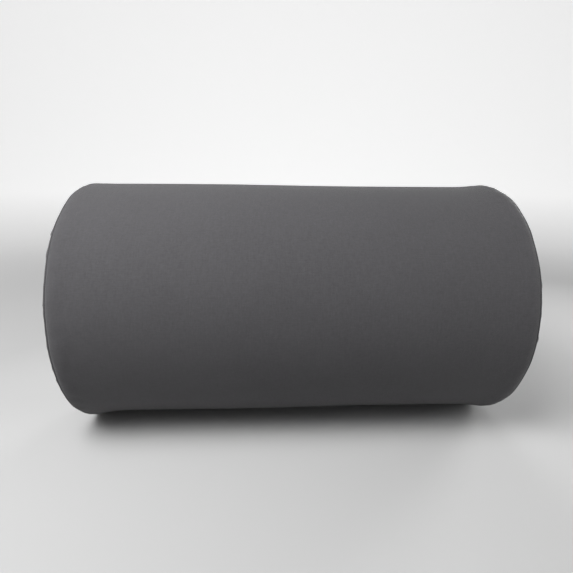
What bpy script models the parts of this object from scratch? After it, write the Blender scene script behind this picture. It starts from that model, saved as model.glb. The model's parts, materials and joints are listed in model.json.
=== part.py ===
"""Round bolster pillow: a foam roll in a sewn liner, inside a fabric cover that closes with a zip.

The roll lies along X and rests on its underside at Z = 0. The zip runs along the rear of the cover.
From the outside in, the pillow is built as the cover, the liner, the wadding and the foam core.
"""

import math

import bmesh
import bpy
from mathutils import Vector

# Overall sizes, in metres.
COVER_LENGTH = 0.308  # from one end seam to the other
COVER_DIAMETER = 0.178
END_DOME = 0.006  # how far the middle of an end panel stands proud of its seam
REST_DEPTH = 0.0025  # how far the underside is pressed flat

# Layers of the pillow.
FIT_GAP = 0.0003  # between two pieces that lie against each other
FABRIC_THICKNESS = 0.0009
LINER_THICKNESS = 0.0005
WADDING_THICKNESS = 0.012  # around the foam core
END_WADDING_THICKNESS = 0.008  # at the rim of each end
SEAM_ALLOWANCE = 0.010  # the cover's edge, turned in behind each end panel

# Sewing thread and the care label.
THREAD_THICKNESS = 0.0005
THREAD_WIDTH = 0.0006
LABEL_WIDTH = 0.020
LABEL_LENGTH = 0.035
LABEL_THICKNESS = 0.00025
LABEL_ANGLE = math.radians(-40)  # from the rear, so below it

# The zip, which lies along the rear of the cover.
ZIP_ANGLE = math.radians(30)  # above the rear
SLOT_END_MARGIN = 0.023  # the closed seam between the zip and the end seam
SLOT_CLEARANCE = 0.0009  # between the slider and the slot's folded edge
TAPE_THICKNESS = 0.0006
TAPE_INNER_EDGE = 0.0015  # from the zip's centre line
TAPE_OUTER_EDGE = 0.016
TAPE_TAIL = 0.009  # how far a tape runs on past the slot
CHAIN_HALF_WIDTH = 0.0030
CHAIN_SPINE_WIDTH = 0.0013
CHAIN_THICKNESS = 0.0020
TOOTH_PITCH = 0.0030
TOOTH_WIDTH = 0.0011
TOOTH_REACH = 0.0012  # past the centre line, into the other row
STOP_LENGTH = 0.0028
STOP_HALF_WIDTH = 0.0034
STOP_THICKNESS = 0.0018
STOP_MARGIN = 0.0010  # from a stop to the end of the slot
END_PLAY = 0.0004  # between neighbours along the chain
TOPSTITCH_INSET = 0.0030  # from the slot's folded edge
BAR_TACK_LENGTH = 0.0020

# The slider and its pull.
SLIDER_LENGTH = 0.011
PLATE_THICKNESS = 0.0010
FLANGE_THICKNESS = 0.0008
FLANGE_PLAY = 0.0004  # beside the chain and above the tape
NOSE_FLARE = 0.0006
LOWER_PLAY = 0.0005  # under the tape, which curves down at its sides
NECK_HALF_WIDTH = 0.0010
NECK_LENGTH = 0.0025
NECK_SETBACK = 0.0008  # from the slider's nose
CROWN_HALF_WIDTH = 0.0010
CROWN_EYE_HALF_LENGTH = 0.0020
CROWN_THICKNESS = 0.0011
PULL_THICKNESS = 0.0012
PULL_LENGTH = 0.026  # from the hinge to the tip
PULL_HALF_WIDTH = 0.0032
PULL_PLAY = 0.0004  # beside the crown
HINGE_PLAY = 0.0001  # around the turning bar

# Fineness of the round shapes.
SIDES = 60
DOME_STEPS = (1.0, 0.7, 0.4)
ARC_STEPS = 4

# Places that follow from the sizes above. An inset is measured in from the cover's outer surface.
COVER_RADIUS = COVER_DIAMETER / 2
AXIS_HEIGHT = COVER_RADIUS - REST_DEPTH
LINER_INSET = FABRIC_THICKNESS + FIT_GAP
WADDING_INSET = LINER_INSET + LINER_THICKNESS + FIT_GAP
CORE_RADIUS = COVER_RADIUS - WADDING_INSET - WADDING_THICKNESS - FIT_GAP
CORNER_INSET = THREAD_THICKNESS + FIT_GAP  # leaves a groove for the seam's thread

RIM_X = COVER_LENGTH / 2
COVER_X = RIM_X - FABRIC_THICKNESS - FIT_GAP
LINER_X = COVER_X - FABRIC_THICKNESS - FIT_GAP
WADDING_X = LINER_X - LINER_THICKNESS - FIT_GAP
CORE_X = WADDING_X - END_WADDING_THICKNESS - FIT_GAP
LABEL_ROOM = LABEL_THICKNESS + 2 * FIT_GAP
LINER_DOME = RIM_X - FABRIC_THICKNESS + END_DOME - LABEL_ROOM - LINER_X

# Heights of the zip's pieces above the pillow's axis, along the zip's outward direction.
TAPE_TOP = COVER_RADIUS - FABRIC_THICKNESS - FIT_GAP
TAPE_BOTTOM = TAPE_TOP - TAPE_THICKNESS
CHAIN_BOTTOM = TAPE_TOP + FIT_GAP
CHAIN_TOP = CHAIN_BOTTOM + CHAIN_THICKNESS
LOWER_PLATE_TOP = TAPE_BOTTOM - LOWER_PLAY
LOWER_PLATE_BOTTOM = LOWER_PLATE_TOP - PLATE_THICKNESS
UPPER_PLATE_BOTTOM = CHAIN_TOP + FIT_GAP
UPPER_PLATE_TOP = UPPER_PLATE_BOTTOM + PLATE_THICKNESS
BAR_SWEEP = PULL_THICKNESS / math.sqrt(2) + HINGE_PLAY  # room that the square bar turns in
HINGE_HEIGHT = UPPER_PLATE_TOP + BAR_SWEEP
CROWN_EYE_TOP = HINGE_HEIGHT + BAR_SWEEP
CROWN_TOP = CROWN_EYE_TOP + CROWN_THICKNESS
CROWN_HALF_LENGTH = CROWN_EYE_HALF_LENGTH + CROWN_THICKNESS

# Places of the zip's pieces along X, with the slider at the closed end.
TAIL_HALF_WIDTH = CHAIN_HALF_WIDTH + FLANGE_PLAY + FLANGE_THICKNESS
NOSE_HALF_WIDTH = TAIL_HALF_WIDTH + NOSE_FLARE
SLOT_HALF_WIDTH = NOSE_HALF_WIDTH + SLOT_CLEARANCE
SLOT_HALF_LENGTH = RIM_X - SLOT_END_MARGIN
TOP_STOP_X = SLOT_HALF_LENGTH - STOP_MARGIN - STOP_LENGTH
SLIDER_X = TOP_STOP_X - END_PLAY - SLIDER_LENGTH / 2
NECK_REAR_X = SLIDER_X + SLIDER_LENGTH / 2 - NECK_SETBACK - NECK_LENGTH
CHAIN_END_X = NECK_REAR_X - END_PLAY
BOTTOM_STOP_X = -SLOT_HALF_LENGTH + STOP_MARGIN
CHAIN_START_X = BOTTOM_STOP_X + STOP_LENGTH + END_PLAY

# The liner and the wadding are pressed in under the zip, so that the slider's lower plate runs free.
DIP_DEPTH = LINER_INSET - FABRIC_THICKNESS + TAPE_TOP - LOWER_PLATE_BOTTOM
DIP_HALF_WIDTH = 2 * NOSE_HALF_WIDTH
DIP_FADE = TAPE_OUTER_EDGE + 0.001  # from the dip's floor back out to the round


def material(name, color, roughness, metallic=0.0):
    """A plain Principled material."""
    made = bpy.data.materials.new(name)
    made.use_nodes = True
    shader = made.node_tree.nodes["Principled BSDF"]
    shader.inputs["Base Color"].default_value = (*color, 1.0)
    shader.inputs["Roughness"].default_value = roughness
    shader.inputs["Metallic"].default_value = metallic
    return made


def add_object(name, mesh, surface, parent=None, location=(0, 0, 0)):
    """Links a new object with smooth round faces and sharp edges."""
    mesh.shade_smooth()
    mesh.set_sharp_from_angle(angle=math.radians(30))
    mesh.materials.append(surface)
    made = bpy.data.objects.new(name, mesh)
    made.location = location
    made.parent = parent
    bpy.context.scene.collection.objects.link(made)
    return made


def mesh_from(name, bm):
    """Turns a bmesh into a mesh whose faces point outwards."""
    bmesh.ops.recalc_face_normals(bm, faces=bm.faces)
    made = bpy.data.meshes.new(name)
    bm.to_mesh(made)
    bm.free()
    return made


def skin(name, rings, looped=False):
    """A solid through rings of points. A ring of one point is a pole, and a looped skin joins its ends."""
    bm = bmesh.new()
    loops = [[bm.verts.new(point) for point in ring] for ring in rings]
    pairs = list(zip(loops, loops[1:]))
    if looped:
        pairs.append((loops[-1], loops[0]))
    for first, second in pairs:
        count = max(len(first), len(second))
        for i in range(count):
            j = (i + 1) % count
            if len(first) == 1:
                bm.faces.new((first[0], second[i], second[j]))
            elif len(second) == 1:
                bm.faces.new((first[i], second[0], first[j]))
            else:
                bm.faces.new((first[i], second[i], second[j], first[j]))
    if not looped:
        for end in (loops[0], loops[-1]):
            if len(end) > 1:
                bm.faces.new(end)
    return mesh_from(name, bm)


def prism(name, outline, direction):
    """A solid from a closed outline, extruded along a direction."""
    bm = bmesh.new()
    face = bm.faces.new([bm.verts.new(point) for point in outline])
    grown = bmesh.ops.extrude_face_region(bm, geom=[face])
    moved = [item for item in grown["geom"] if isinstance(item, bmesh.types.BMVert)]
    bmesh.ops.translate(bm, vec=Vector(direction), verts=moved)
    return mesh_from(name, bm)


def block(name, low, high):
    """A box between two corners."""
    (x0, y0, z0), (x1, y1, z1) = low, high
    outline = [(x0, y0, z0), (x1, y0, z0), (x1, y1, z0), (x0, y1, z0)]
    return prism(name, outline, (0, 0, z1 - z0))


# ---------------------------------------------------------------- cross-sections of the roll


def dip_at(angle):
    """How far the liner is pressed in at an angle round the roll, to make room for the zip."""
    away = abs((angle - ZIP_ANGLE + math.pi) % math.tau - math.pi) * COVER_RADIUS
    share = min(max((away - DIP_HALF_WIDTH) / DIP_FADE, 0.0), 1.0)
    return DIP_DEPTH * (1 - share * share * (3 - 2 * share))


def section(x, inset, dipped=False, scale=1.0):
    """The ring of points this far inside the cover's surface: round, and flat underneath."""
    ring = []
    for step in range(SIDES):
        angle = math.tau * step / SIDES
        radius = COVER_RADIUS - inset - (dip_at(angle) if dipped else 0.0)
        y = radius * math.cos(angle)
        z = max(radius * math.sin(angle), inset - AXIS_HEIGHT)
        ring.append(Vector((x, y * scale, z * scale + AXIS_HEIGHT)))
    return ring


def circle(x, radius):
    """A round ring of points about the roll's axis."""
    angles = [math.tau * step / SIDES for step in range(SIDES)]
    return [Vector((x, radius * math.cos(a), radius * math.sin(a) + AXIS_HEIGHT)) for a in angles]


def end_disc(name, side, inset, x_rim, dome, thickness, insert=False, flat_back=False):
    """A domed disc that closes one end. Side is 1 at +X and -1 at -X.

    A disc of the insert keeps a flat rim, which lies behind the cover's seam allowance.
    """
    flat_from = (AXIS_HEIGHT - SEAM_ALLOWANCE - FIT_GAP) / (AXIS_HEIGHT - inset) if insert else 1.0
    rings = [(flat_from * step, dome * (1 - step * step)) for step in DOME_STEPS]
    if insert:
        rings.insert(0, (1.0, 0.0))
    front = [section(side * (x_rim + bulge), inset, insert, scale) for scale, bulge in rings]
    back = [
        section(side * (x_rim - thickness + (0.0 if flat_back else bulge)), inset, insert, scale)
        for scale, bulge in rings
    ]
    x_back = x_rim - thickness + (0.0 if flat_back else dome)
    poles = [[Vector((side * x, 0, AXIS_HEIGHT))] for x in (x_rim + dome, x_back)]
    return skin(name, [poles[0], *reversed(front), *back, poles[1]])


def seam_ring(name, side, inset, x_rim, thread):
    """The thread that lies in the groove at one end seam."""
    x0 = side * (x_rim - THREAD_WIDTH)
    x1 = side * x_rim
    inner = inset + THREAD_THICKNESS
    rings = [section(x0, inset), section(x1, inset), section(x1, inner), section(x0, inner)]
    return add_object(name, skin(name, rings, looped=True), thread)


# ---------------------------------------------------------------- the roll inside the cover


def build_insert(foam, wadding, liner, thread):
    """The foam core, its wadding and the sewn liner round both."""
    core = skin("foam_core", [circle(-CORE_X, CORE_RADIUS), circle(CORE_X, CORE_RADIUS)])
    add_object("foam_core", core, foam)

    bore = CORE_RADIUS + FIT_GAP
    wrap = [
        section(-CORE_X, WADDING_INSET, dipped=True),
        section(CORE_X, WADDING_INSET, dipped=True),
        circle(CORE_X, bore),
        circle(-CORE_X, bore),
    ]
    add_object("wadding_wrap", skin("wadding_wrap", wrap, looped=True), wadding)

    tube_x = LINER_X - LINER_THICKNESS - FIT_GAP
    inner = LINER_INSET + LINER_THICKNESS
    tube = [
        section(-tube_x, LINER_INSET, dipped=True),
        section(tube_x, LINER_INSET, dipped=True),
        section(tube_x, inner, dipped=True),
        section(-tube_x, inner, dipped=True),
    ]
    add_object("liner_tube", skin("liner_tube", tube, looped=True), liner)

    for side, where in ((-1, "left"), (1, "right")):
        name = f"wadding_end_{where}"
        pad = end_disc(
            name, side, WADDING_INSET, WADDING_X, LINER_DOME, END_WADDING_THICKNESS,
            insert=True, flat_back=True,
        )
        add_object(name, pad, wadding)
        name = f"liner_end_{where}"
        rim = LINER_INSET + CORNER_INSET
        disc = end_disc(name, side, rim, LINER_X, LINER_DOME, LINER_THICKNESS, insert=True)
        add_object(name, disc, liner)
        x0 = side * (LINER_X - THREAD_WIDTH)
        x1 = side * LINER_X
        outer, deep = LINER_INSET, LINER_INSET + THREAD_THICKNESS
        corners = ((x0, outer), (x1, outer), (x1, deep), (x0, deep))
        rings = [section(x, at, dipped=True) for x, at in corners]
        name = f"liner_seam_thread_{where}"
        add_object(name, skin(name, rings, looped=True), thread)


# ---------------------------------------------------------------- the cover


def build_cover(zip_line, fabric, thread, label):
    """The tube panel with its slot for the zip, the two end panels, their seams and the care label."""
    inner_x = COVER_X - FABRIC_THICKNESS
    panel = [
        section(-COVER_X, 0),
        section(COVER_X, 0),
        section(COVER_X, SEAM_ALLOWANCE),
        section(inner_x, SEAM_ALLOWANCE),
        section(inner_x, FABRIC_THICKNESS),
        section(-inner_x, FABRIC_THICKNESS),
        section(-inner_x, SEAM_ALLOWANCE),
        section(-COVER_X, SEAM_ALLOWANCE),
    ]
    tube = add_object("cover_tube_panel", skin("cover_tube_panel", panel, looped=True), fabric)
    low = (-SLOT_HALF_LENGTH, -SLOT_HALF_WIDTH, COVER_RADIUS - SEAM_ALLOWANCE)
    high = (SLOT_HALF_LENGTH, SLOT_HALF_WIDTH, COVER_RADIUS + SEAM_ALLOWANCE)
    slot = helper("zip_slot_cutter", block("zip_slot_cutter", low, high), fabric, zip_line)
    boolean(tube, slot, "DIFFERENCE")

    for side, where in ((-1, "left"), (1, "right")):
        name = f"cover_end_{where}"
        disc = end_disc(name, side, CORNER_INSET, RIM_X, END_DOME, FABRIC_THICKNESS)
        add_object(name, disc, fabric)
        seam_ring(f"end_seam_thread_{where}", side, 0, RIM_X - FIT_GAP, thread)

    add_object("care_label", care_label_mesh(), label)


def care_label_mesh():
    """A blank strip sewn into the right end seam. It lies between the end panel and the liner."""
    across = Vector((0, -math.sin(LABEL_ANGLE), math.cos(LABEL_ANGLE)))
    inward = Vector((0, -math.cos(LABEL_ANGLE), -math.sin(LABEL_ANGLE)))
    rim = COVER_RADIUS - SEAM_ALLOWANCE - FIT_GAP
    front = []
    back = []
    for step in range(ARC_STEPS + 1):
        radius = rim - LABEL_LENGTH * step / ARC_STEPS
        scale = radius / COVER_RADIUS
        x = RIM_X - FABRIC_THICKNESS - FIT_GAP + END_DOME * (1 - scale * scale) - LABEL_THICKNESS
        middle = Vector((x, 0, AXIS_HEIGHT)) - inward * radius
        sides = [middle - across * LABEL_WIDTH / 2, middle + across * LABEL_WIDTH / 2]
        front.append(sides)
        back.append([point - Vector((LABEL_THICKNESS, 0, 0)) for point in sides])
    rings = [[f[0], f[1], b[1], b[0]] for f, b in zip(front, back)]
    return skin("care_label", rings)


def helper(name, mesh, surface, parent, location=(0, 0, 0)):
    """A shape that only cuts or joins, so it stays out of the render."""
    made = add_object(name, mesh, surface, parent, location)
    made.hide_render = True
    made.display_type = "WIRE"
    return made


def boolean(target, other, operation):
    """Cuts one object from another, or joins it on."""
    modifier = target.modifiers.new(other.name, "BOOLEAN")
    modifier.solver = "EXACT"
    modifier.operation = operation
    modifier.object = other


# ---------------------------------------------------------------- the zip


def arc_strip(name, r0, r1, y0, y1, x0, x1):
    """A strip that follows the cover's curve: between two radii, and from y0 to y1 round the curve."""
    angles = [(y0 + (y1 - y0) * i / ARC_STEPS) / COVER_RADIUS for i in range(ARC_STEPS + 1)]
    outer = [(x0, r1 * math.sin(a), r1 * math.cos(a)) for a in angles]
    inner = [(x0, r0 * math.sin(a), r0 * math.cos(a)) for a in reversed(angles)]
    return prism(name, outer + inner, (x1 - x0, 0, 0))


def chain_mesh(name, side, offset):
    """One row of the zip's chain: a spine along the tape with teeth that reach past the centre line."""
    spine_inner = CHAIN_HALF_WIDTH - CHAIN_SPINE_WIDTH
    outline = [(CHAIN_START_X, CHAIN_HALF_WIDTH), (CHAIN_START_X, spine_inner)]
    count = int((CHAIN_END_X - CHAIN_START_X - offset - TOOTH_WIDTH) / TOOTH_PITCH) + 1
    for tooth in range(count):
        start = CHAIN_START_X + offset + tooth * TOOTH_PITCH
        stop = start + TOOTH_WIDTH
        if start > outline[-1][0]:
            outline.append((start, spine_inner))
        outline += [(start, -TOOTH_REACH), (stop, -TOOTH_REACH), (stop, spine_inner)]
    outline += [(CHAIN_END_X, spine_inner), (CHAIN_END_X, CHAIN_HALF_WIDTH)]
    points = [(x, side * y, CHAIN_BOTTOM) for x, y in outline]
    return prism(name, points, (0, 0, CHAIN_THICKNESS))


def build_zip(zip_line, tape, coil, metal, thread):
    """Tapes, chain, stops and the sewing round the zip. Upper is the side towards the pillow's top."""
    half = SLOT_HALF_LENGTH
    stitch_low = COVER_RADIUS + FIT_GAP
    stitch_high = stitch_low + THREAD_THICKNESS
    stop_high = CHAIN_BOTTOM + STOP_THICKNESS
    for side, where in ((-1, "upper"), (1, "lower")):
        name = f"zip_tape_{where}"
        edges = (side * TAPE_INNER_EDGE, side * TAPE_OUTER_EDGE)
        strip = arc_strip(name, TAPE_BOTTOM, TAPE_TOP, *edges, -half - TAPE_TAIL, half + TAPE_TAIL)
        add_object(name, strip, tape, zip_line)

        name = f"zip_chain_{where}"
        offset = END_PLAY if side < 0 else END_PLAY + TOOTH_PITCH / 2
        add_object(name, chain_mesh(name, side, offset), coil, zip_line)

        name = f"zip_stitch_{where}"
        near = SLOT_HALF_WIDTH + TOPSTITCH_INSET
        row = (side * near, side * (near + THREAD_WIDTH))
        strip = arc_strip(name, stitch_low, stitch_high, *row, -half, half)
        add_object(name, strip, thread, zip_line)

        name = f"zip_top_stop_{where}"
        low = (TOP_STOP_X, min(side * TAPE_INNER_EDGE, side * STOP_HALF_WIDTH), CHAIN_BOTTOM)
        high = (TOP_STOP_X + STOP_LENGTH, max(side * TAPE_INNER_EDGE, side * STOP_HALF_WIDTH), stop_high)
        add_object(name, block(name, low, high), metal, zip_line)

    low = (BOTTOM_STOP_X, -STOP_HALF_WIDTH, CHAIN_BOTTOM)
    high = (BOTTOM_STOP_X + STOP_LENGTH, STOP_HALF_WIDTH, stop_high)
    add_object("zip_bottom_stop", block("zip_bottom_stop", low, high), metal, zip_line)

    for side, where in ((-1, "left"), (1, "right")):
        name = f"bar_tack_{where}"
        x0 = side * (half + FIT_GAP)
        x1 = side * (half + FIT_GAP + BAR_TACK_LENGTH)
        edges = (-SLOT_HALF_WIDTH, SLOT_HALF_WIDTH)
        strip = arc_strip(name, stitch_low, stitch_high, *edges, min(x0, x1), max(x0, x1))
        add_object(name, strip, thread, zip_line)


def plate_mesh(name, low, high):
    """A plate of the slider: narrow at the tail and flared at the nose."""
    tail, nose = -SLIDER_LENGTH / 2, SLIDER_LENGTH / 2
    shoulder = nose - NECK_SETBACK - NECK_LENGTH
    side = [
        (tail, TAIL_HALF_WIDTH - NOSE_FLARE),
        (tail + NOSE_FLARE, TAIL_HALF_WIDTH),
        (shoulder, NOSE_HALF_WIDTH),
        (nose - NECK_SETBACK, NOSE_HALF_WIDTH),
        (nose, TAIL_HALF_WIDTH - NOSE_FLARE),
    ]
    outline = [(x, y, low) for x, y in side] + [(x, -y, low) for x, y in reversed(side)]
    return prism(name, outline, (0, 0, high - low))


def crown_mesh(name, base):
    """The arch on the slider that the pull's bar turns in. Its legs reach down to base."""
    leg, eye = CROWN_HALF_LENGTH, CROWN_EYE_HALF_LENGTH
    arch = [
        (-leg, base), (-leg, CROWN_EYE_TOP), (-eye, CROWN_TOP), (eye, CROWN_TOP),
        (leg, CROWN_EYE_TOP), (leg, base), (eye, base), (eye, CROWN_EYE_TOP),
        (-eye, CROWN_EYE_TOP), (-eye, base),
    ]
    outline = [(x, -CROWN_HALF_WIDTH, z) for x, z in arch]
    return prism(name, outline, (0, 2 * CROWN_HALF_WIDTH, 0))


def build_slider(zip_line, metal):
    """The slider: two plates joined by a neck, side flanges and the crown, on the zip's line."""
    middle = (CHAIN_BOTTOM + CHAIN_TOP) / 2
    place = (SLIDER_X, 0, middle)
    bite = PLATE_THICKNESS / 2  # how far the joined shapes run into a plate
    tail, nose = -SLIDER_LENGTH / 2, SLIDER_LENGTH / 2

    def raised(mesh):
        """Moves a mesh from heights above the pillow's axis to heights above the slider's origin."""
        for vertex in mesh.vertices:
            vertex.co.z -= middle
        return mesh

    upper = raised(plate_mesh("zip_slider", UPPER_PLATE_BOTTOM, UPPER_PLATE_TOP))
    slider = add_object("zip_slider", upper, metal, zip_line, place)

    neck_x = nose - NECK_SETBACK
    joined = {
        "slider_lower_plate": plate_mesh("slider_lower_plate", LOWER_PLATE_BOTTOM, LOWER_PLATE_TOP),
        "slider_neck": block(
            "slider_neck",
            (neck_x - NECK_LENGTH, -NECK_HALF_WIDTH, LOWER_PLATE_TOP - bite),
            (neck_x, NECK_HALF_WIDTH, UPPER_PLATE_BOTTOM + bite),
        ),
        "slider_crown": crown_mesh("slider_crown", UPPER_PLATE_TOP - bite),
    }
    for side, where in ((-1, "upper"), (1, "lower")):
        y0, y1 = side * (CHAIN_HALF_WIDTH + FLANGE_PLAY), side * (TAIL_HALF_WIDTH - NOSE_FLARE / 4)
        name = f"slider_flange_{where}"
        low = (tail + NOSE_FLARE, min(y0, y1), TAPE_TOP + FLANGE_PLAY)
        high = (neck_x - NECK_LENGTH, max(y0, y1), UPPER_PLATE_BOTTOM + bite)
        joined[name] = block(name, low, high)
    for name, mesh in joined.items():
        boolean(slider, helper(name, raised(mesh), metal, zip_line, place), "UNION")


def build_pull(zip_line, metal):
    """The pull: a flat tab with a window, whose end bar turns in the slider's crown."""
    bar = PULL_THICKNESS / 2
    window = CROWN_HALF_WIDTH + PULL_PLAY
    window_end = math.hypot(CROWN_HALF_LENGTH, CROWN_TOP - HINGE_HEIGHT) + 2 * HINGE_PLAY
    tip = PULL_LENGTH
    round_end = PULL_HALF_WIDTH
    outline = [(bar, -PULL_HALF_WIDTH), (bar, PULL_HALF_WIDTH)]
    for step in range(2 * ARC_STEPS + 1):
        angle = math.pi * step / (2 * ARC_STEPS)
        x = -(tip - round_end) - round_end * math.sin(angle)
        outline.append((x, PULL_HALF_WIDTH * math.cos(angle)))
    points = [(x, y, -bar) for x, y in outline]
    place = (SLIDER_X, 0, HINGE_HEIGHT)
    pull = add_object("zip_pull", prism("zip_pull", points, (0, 0, PULL_THICKNESS)), metal, zip_line, place)
    low = (-window_end, -window, -PULL_THICKNESS)
    high = (-bar, window, PULL_THICKNESS)
    cutter = helper("pull_window_cutter", block("pull_window_cutter", low, high), metal, zip_line, place)
    boolean(pull, cutter, "DIFFERENCE")


def main():
    for old in list(bpy.data.objects):
        bpy.data.objects.remove(old)

    fabric = material("cover_fabric", (0.105, 0.103, 0.108), 0.9)
    thread = material("thread", (0.085, 0.084, 0.088), 0.7)
    liner = material("liner_fabric", (0.78, 0.77, 0.74), 0.9)
    wadding = material("wadding", (0.86, 0.86, 0.85), 1.0)
    foam = material("foam", (0.82, 0.78, 0.62), 0.95)
    label = material("label_satin", (0.85, 0.85, 0.84), 0.5)
    tape = material("zip_tape", (0.08, 0.08, 0.083), 0.85)
    coil = material("zip_coil", (0.07, 0.07, 0.073), 0.45)
    metal = material("zip_metal", (0.12, 0.12, 0.125), 0.4, 0.9)

    zip_line = bpy.data.objects.new("zip_line", None)
    zip_line.location = (0, 0, AXIS_HEIGHT)
    zip_line.rotation_euler = (ZIP_ANGLE - math.pi / 2, 0, 0)
    bpy.context.scene.collection.objects.link(zip_line)

    build_insert(foam, wadding, liner, thread)
    build_cover(zip_line, fabric, thread, label)
    build_zip(zip_line, tape, coil, metal, thread)
    build_slider(zip_line, metal)
    build_pull(zip_line, metal)


main()
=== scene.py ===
"""The finished look of the round bolster pillow: its cloth, seams, zip and stuffing."""

from __future__ import annotations

import json
import logging
import math
import sys
from dataclasses import dataclass, field
from enum import Enum
from typing import Any, Iterable, Sequence

import bmesh
import bpy
import numpy as np
from mathutils import Matrix, Vector

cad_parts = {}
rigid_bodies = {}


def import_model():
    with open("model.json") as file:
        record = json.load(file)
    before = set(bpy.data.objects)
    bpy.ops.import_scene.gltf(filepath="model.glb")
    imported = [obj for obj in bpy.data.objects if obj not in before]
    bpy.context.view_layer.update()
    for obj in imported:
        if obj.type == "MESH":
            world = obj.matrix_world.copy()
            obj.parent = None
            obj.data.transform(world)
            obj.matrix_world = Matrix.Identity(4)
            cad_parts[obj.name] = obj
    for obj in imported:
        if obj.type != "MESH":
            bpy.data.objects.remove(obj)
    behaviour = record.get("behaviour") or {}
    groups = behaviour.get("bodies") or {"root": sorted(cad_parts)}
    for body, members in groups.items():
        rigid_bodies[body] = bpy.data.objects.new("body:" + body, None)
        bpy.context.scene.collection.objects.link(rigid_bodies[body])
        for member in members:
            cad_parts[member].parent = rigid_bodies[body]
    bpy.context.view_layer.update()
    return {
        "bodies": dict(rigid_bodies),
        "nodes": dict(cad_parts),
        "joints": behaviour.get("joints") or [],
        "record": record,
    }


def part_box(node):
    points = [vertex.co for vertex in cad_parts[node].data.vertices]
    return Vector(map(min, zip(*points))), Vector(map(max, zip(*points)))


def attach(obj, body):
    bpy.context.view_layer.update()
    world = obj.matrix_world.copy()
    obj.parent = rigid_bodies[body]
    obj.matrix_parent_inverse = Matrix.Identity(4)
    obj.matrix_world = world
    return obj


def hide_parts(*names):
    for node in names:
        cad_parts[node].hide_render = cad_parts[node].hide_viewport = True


LOG = logging.getLogger("bolster")
Array = np.ndarray
Colour = tuple[float, float, float]
MM = 0.001
STITCH_SETBACK = 3.0 * MM  # from the edge of the zip's slot to the stitching beside it
ASIDE = (0.13, 0.71, 0.69)  # the way that a thread's sides are set out from


class Side(Enum):
    """An end of the roll, by the direction it faces along X."""

    LEFT = -1
    RIGHT = 1

    @property
    def word(self) -> str:
        """The side's word in the names of pieces."""
        return self.name.lower()


class Row(Enum):
    """A side of the zip, by the way it lies round the roll from the zip's centre line."""

    UPPER = -1
    LOWER = 1

    @property
    def word(self) -> str:
        """The row's word in the names of pieces."""
        return self.name.lower()


# ---------------------------------------------------------------- where things are


@dataclass(frozen=True)
class Roll:
    """The pillow's place and main sizes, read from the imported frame.

    A place on the roll is given by x, by the distance round the roll from the zip, and by a height
    above the roll's axis. Round distances are measured on the cover's radius.
    """

    radius: float
    axis_height: float
    tube_x: float
    panel_x: float
    dome_x: float
    outward: Array
    down: Array

    @classmethod
    def from_frame(cls, frame: dict[str, Any]) -> Roll:
        """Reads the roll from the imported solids.


        Returns:
            The roll.
        """
        low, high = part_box("cover_tube_panel")
        end_low, end_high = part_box("cover_end_right")
        swing = next(joint for joint in frame["joints"] if joint["name"] == "zip_pull_swing")
        down = np.array(swing["axis"], float)
        down /= np.linalg.norm(down)
        radius = (high.y - low.y) / 2
        return cls(
            radius=radius,
            axis_height=high.z - radius,
            tube_x=high.x,
            panel_x=end_low.x,
            dome_x=end_high.x,
            outward=np.cross((1.0, 0.0, 0.0), down),
            down=down,
        )

    @property
    def half_round(self) -> float:
        """The distance round the roll from the zip to the line opposite it."""
        return math.pi * self.radius

    def from_zip(self, arc: Array) -> Array:
        """How far places lie from the zip's line, the short way round.

        Args:
            arc: Distances round the roll from the zip.

        Returns:
            Distances from zero to half round the roll.
        """
        return np.abs((arc + self.half_round) % (2 * self.half_round) - self.half_round)

    def around(self, x: Array, arc: Array, height: Array) -> Array:
        """Points on the curve of the roll.

        Args:
            x: Places along the roll.
            arc: Distances round the roll from the zip, down the back.
            height: Heights above the axis.

        Returns:
            The points, as an array whose last side is three long.
        """
        x, arc, height = np.broadcast_arrays(x, arc, height)
        angle = arc / self.radius
        plane = np.cos(angle)[..., None] * self.outward + np.sin(angle)[..., None] * self.down
        points = height[..., None] * plane
        points[..., 0] += x
        points[..., 2] += self.axis_height
        return points

    def matrix(self) -> Matrix:
        """The frame of the zip: X along it, Y down the back and Z outwards, from the roll's axis.

        Returns:
            The turn and shift from that frame to the pillow's own.
        """
        columns = ((1.0, 0.0, 0.0), tuple(self.down), tuple(self.outward))
        turned = Matrix(columns).transposed().to_4x4()
        turned.translation = (0.0, 0.0, self.axis_height)
        return turned

    def measure(self, node: bpy.types.Object) -> tuple[Array, Array]:
        """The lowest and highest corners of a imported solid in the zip's frame.

        Args:
            node: The solid's object.

        Returns:
            Two arrays of x, distance down the back and height above the axis.
        """
        inverse = self.matrix().inverted()
        points = np.array([inverse @ vertex.co for vertex in node.data.vertices])
        return points.min(0), points.max(0)


def smooth_step(value: Array) -> Array:
    """Zero below 0, one above 1, and smooth between them."""
    share = np.clip(value, 0.0, 1.0)
    return share * share * (3 - 2 * share)


def bump(value: Array, width: float) -> Array:
    """One at 0, and a bell that fades out at the width given."""
    return np.exp(-((value / width) ** 2))


def waves(phase: Array, counts: Iterable[int], generator: np.random.Generator) -> Array:
    """A closed wavy line made of whole numbers of waves round the roll.

    Args:
        phase: Angles round the roll.
        counts: How many waves each part has.
        generator: Where the parts' phases and strengths come from.

    Returns:
        Heights that are mostly between -1 and 1.
    """
    total = np.zeros_like(phase)
    for count in counts:
        shift, strength = generator.uniform(0, math.tau), generator.uniform(0.4, 1.0)
        total += strength * np.sin(count * phase + shift)
    return total / max(float(np.abs(total).max()), 1e-9)


# ---------------------------------------------------------------- shaping meshes


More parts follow.
